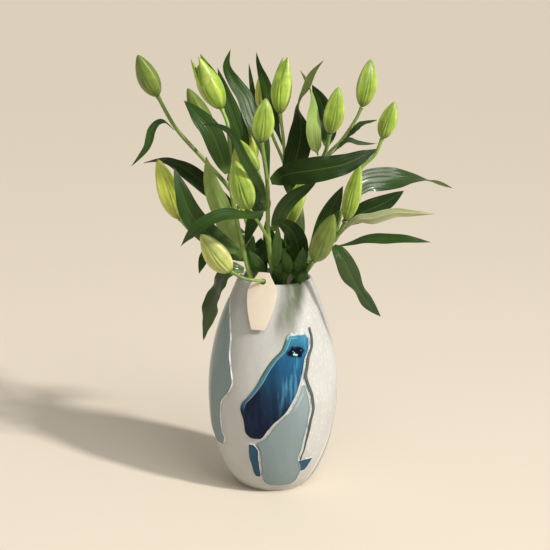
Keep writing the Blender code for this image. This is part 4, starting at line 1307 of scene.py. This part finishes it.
# ---------------------------------------------------------------- stage
class LILY_OT_stage(bpy.types.Operator):
    """Build the plain pale floor, the soft light and the camera"""
    bl_idname = "lily.stage"
    bl_label = "Stage"

    def execute(self, context):
        stage = context.scene.lily_stage
        self.floor(context.scene, stage)
        self.lights(context.scene, stage)
        self.camera(context.scene, stage)
        return {"FINISHED"}

    def floor(self, scene, stage):
        """A wide flat disc just under the vase's foot."""
        mesh = bpy.data.meshes.new("floor")
        turn = full_turn(96)
        ring = over((96, ), FLOOR_REACH * np.cos(turn), FLOOR_REACH * np.sin(turn), -0.0002)
        mesh.from_pydata(ring.tolist(), [], [list(range(96))])
        made, _, _ = new_material("floor_matt", Base_Color=(*stage.floor, 1.0), Roughness=0.9)
        mesh.materials.append(made)
        floor = bpy.data.objects.new("floor", mesh)
        scene.collection.objects.link(floor)

    def lights(self, scene, stage):
        """A main light from the right and above, a wide soft one beside it, and a weak warm
        light from all round."""
        world = scene.world = bpy.data.worlds.new("soft_room")
        world.use_nodes = True
        ground = world.node_tree.nodes["Background"]
        ground.inputs["Color"].default_value = (1.0, 0.965, 0.91, 1.0)
        ground.inputs["Strength"].default_value = stage.fill
        key = self.light(scene, "main_light", "SUN", (1.9, -1.35, 1.95), 0.35)
        key.energy, key.angle, key.color = stage.key, math.radians(5.0), (1.0, 0.96, 0.89)
        soft = self.light(scene, "window_light", "AREA", (0.7, -1.2, 2.0), 0.4)
        soft.energy, soft.size, soft.color = stage.key * 6.0, 1.1, (1.0, 0.99, 0.97)

    def light(self, scene, name, kind, place, aim_height):
        """A light at a place that looks at a height above the floor's middle."""
        data = bpy.data.lights.new(name, kind)
        item = bpy.data.objects.new(name, data)
        back = unit(np.array(place) - np.array([0.0, 0.0, aim_height]))
        side = unit(np.cross([0.0, 0.0, 1.0], back))
        turn = np.stack([side, np.cross(back, side), back, place], 1)
        item.matrix_world = Matrix([*turn.tolist(), [0.0, 0.0, 0.0, 1.0]])
        scene.collection.objects.link(item)
        return data

    def camera(self, scene, stage):
        """A camera in front and a little above, turned down and rolled a touch."""
        data = bpy.data.cameras.new("camera")
        data.lens, data.sensor_width = stage.lens, 36.0
        camera = bpy.data.objects.new("camera", data)
        tilt = Matrix.Rotation(math.radians(90.0 - CAMERA_DOWN), 4, "X")
        roll = Matrix.Rotation(math.radians(CAMERA_ROLL), 4, "Z")
        camera.matrix_world = Matrix.Translation(CAMERA_PLACE) @ tilt @ roll
        scene.collection.objects.link(camera)
        scene.camera = camera
        scene.view_settings.view_transform = "Standard"


# ---------------------------------------------------------------- add-on
BUILDERS = (LILY_OT_vase, LILY_OT_glass_windows, LILY_OT_tag, LILY_OT_stems, LILY_OT_buds,
            LILY_OT_leaves, LILY_OT_small_leaves, LILY_OT_stage)


class LILY_PT_panel(bpy.types.Panel):
    """Lists the pieces and their settings"""
    bl_label = "Lilies in a vase"
    bl_idname = "LILY_PT_panel"
    bl_space_type = "VIEW_3D"
    bl_region_type = "UI"
    bl_category = "Lilies"

    def draw(self, context):
        for builder in BUILDERS:
            self.layout.operator(builder.bl_idname)
        for group in (context.scene.lily_vase, context.scene.lily_plant,
                      context.scene.lily_stage):
            box = self.layout.box()
            for name in group.__annotations__:
                box.prop(group, name)


CLASSES = (VaseSettings, PlantSettings, StageSettings, *BUILDERS, LILY_PT_panel)


def register():
    for made in CLASSES:
        bpy.utils.register_class(made)
    bpy.types.Scene.lily_vase = bpy.props.PointerProperty(type=VaseSettings)
    bpy.types.Scene.lily_plant = bpy.props.PointerProperty(type=PlantSettings)
    bpy.types.Scene.lily_stage = bpy.props.PointerProperty(type=StageSettings)


def unregister():
    for name in ("lily_vase", "lily_plant", "lily_stage"):
        delattr(bpy.types.Scene, name)
    for made in reversed(CLASSES):
        bpy.utils.unregister_class(made)


def main():
    register()
    for builder in BUILDERS:
        group, name = builder.bl_idname.split(".")
        getattr(getattr(bpy.ops, group), name)()


if __name__ == "__main__":
    main()
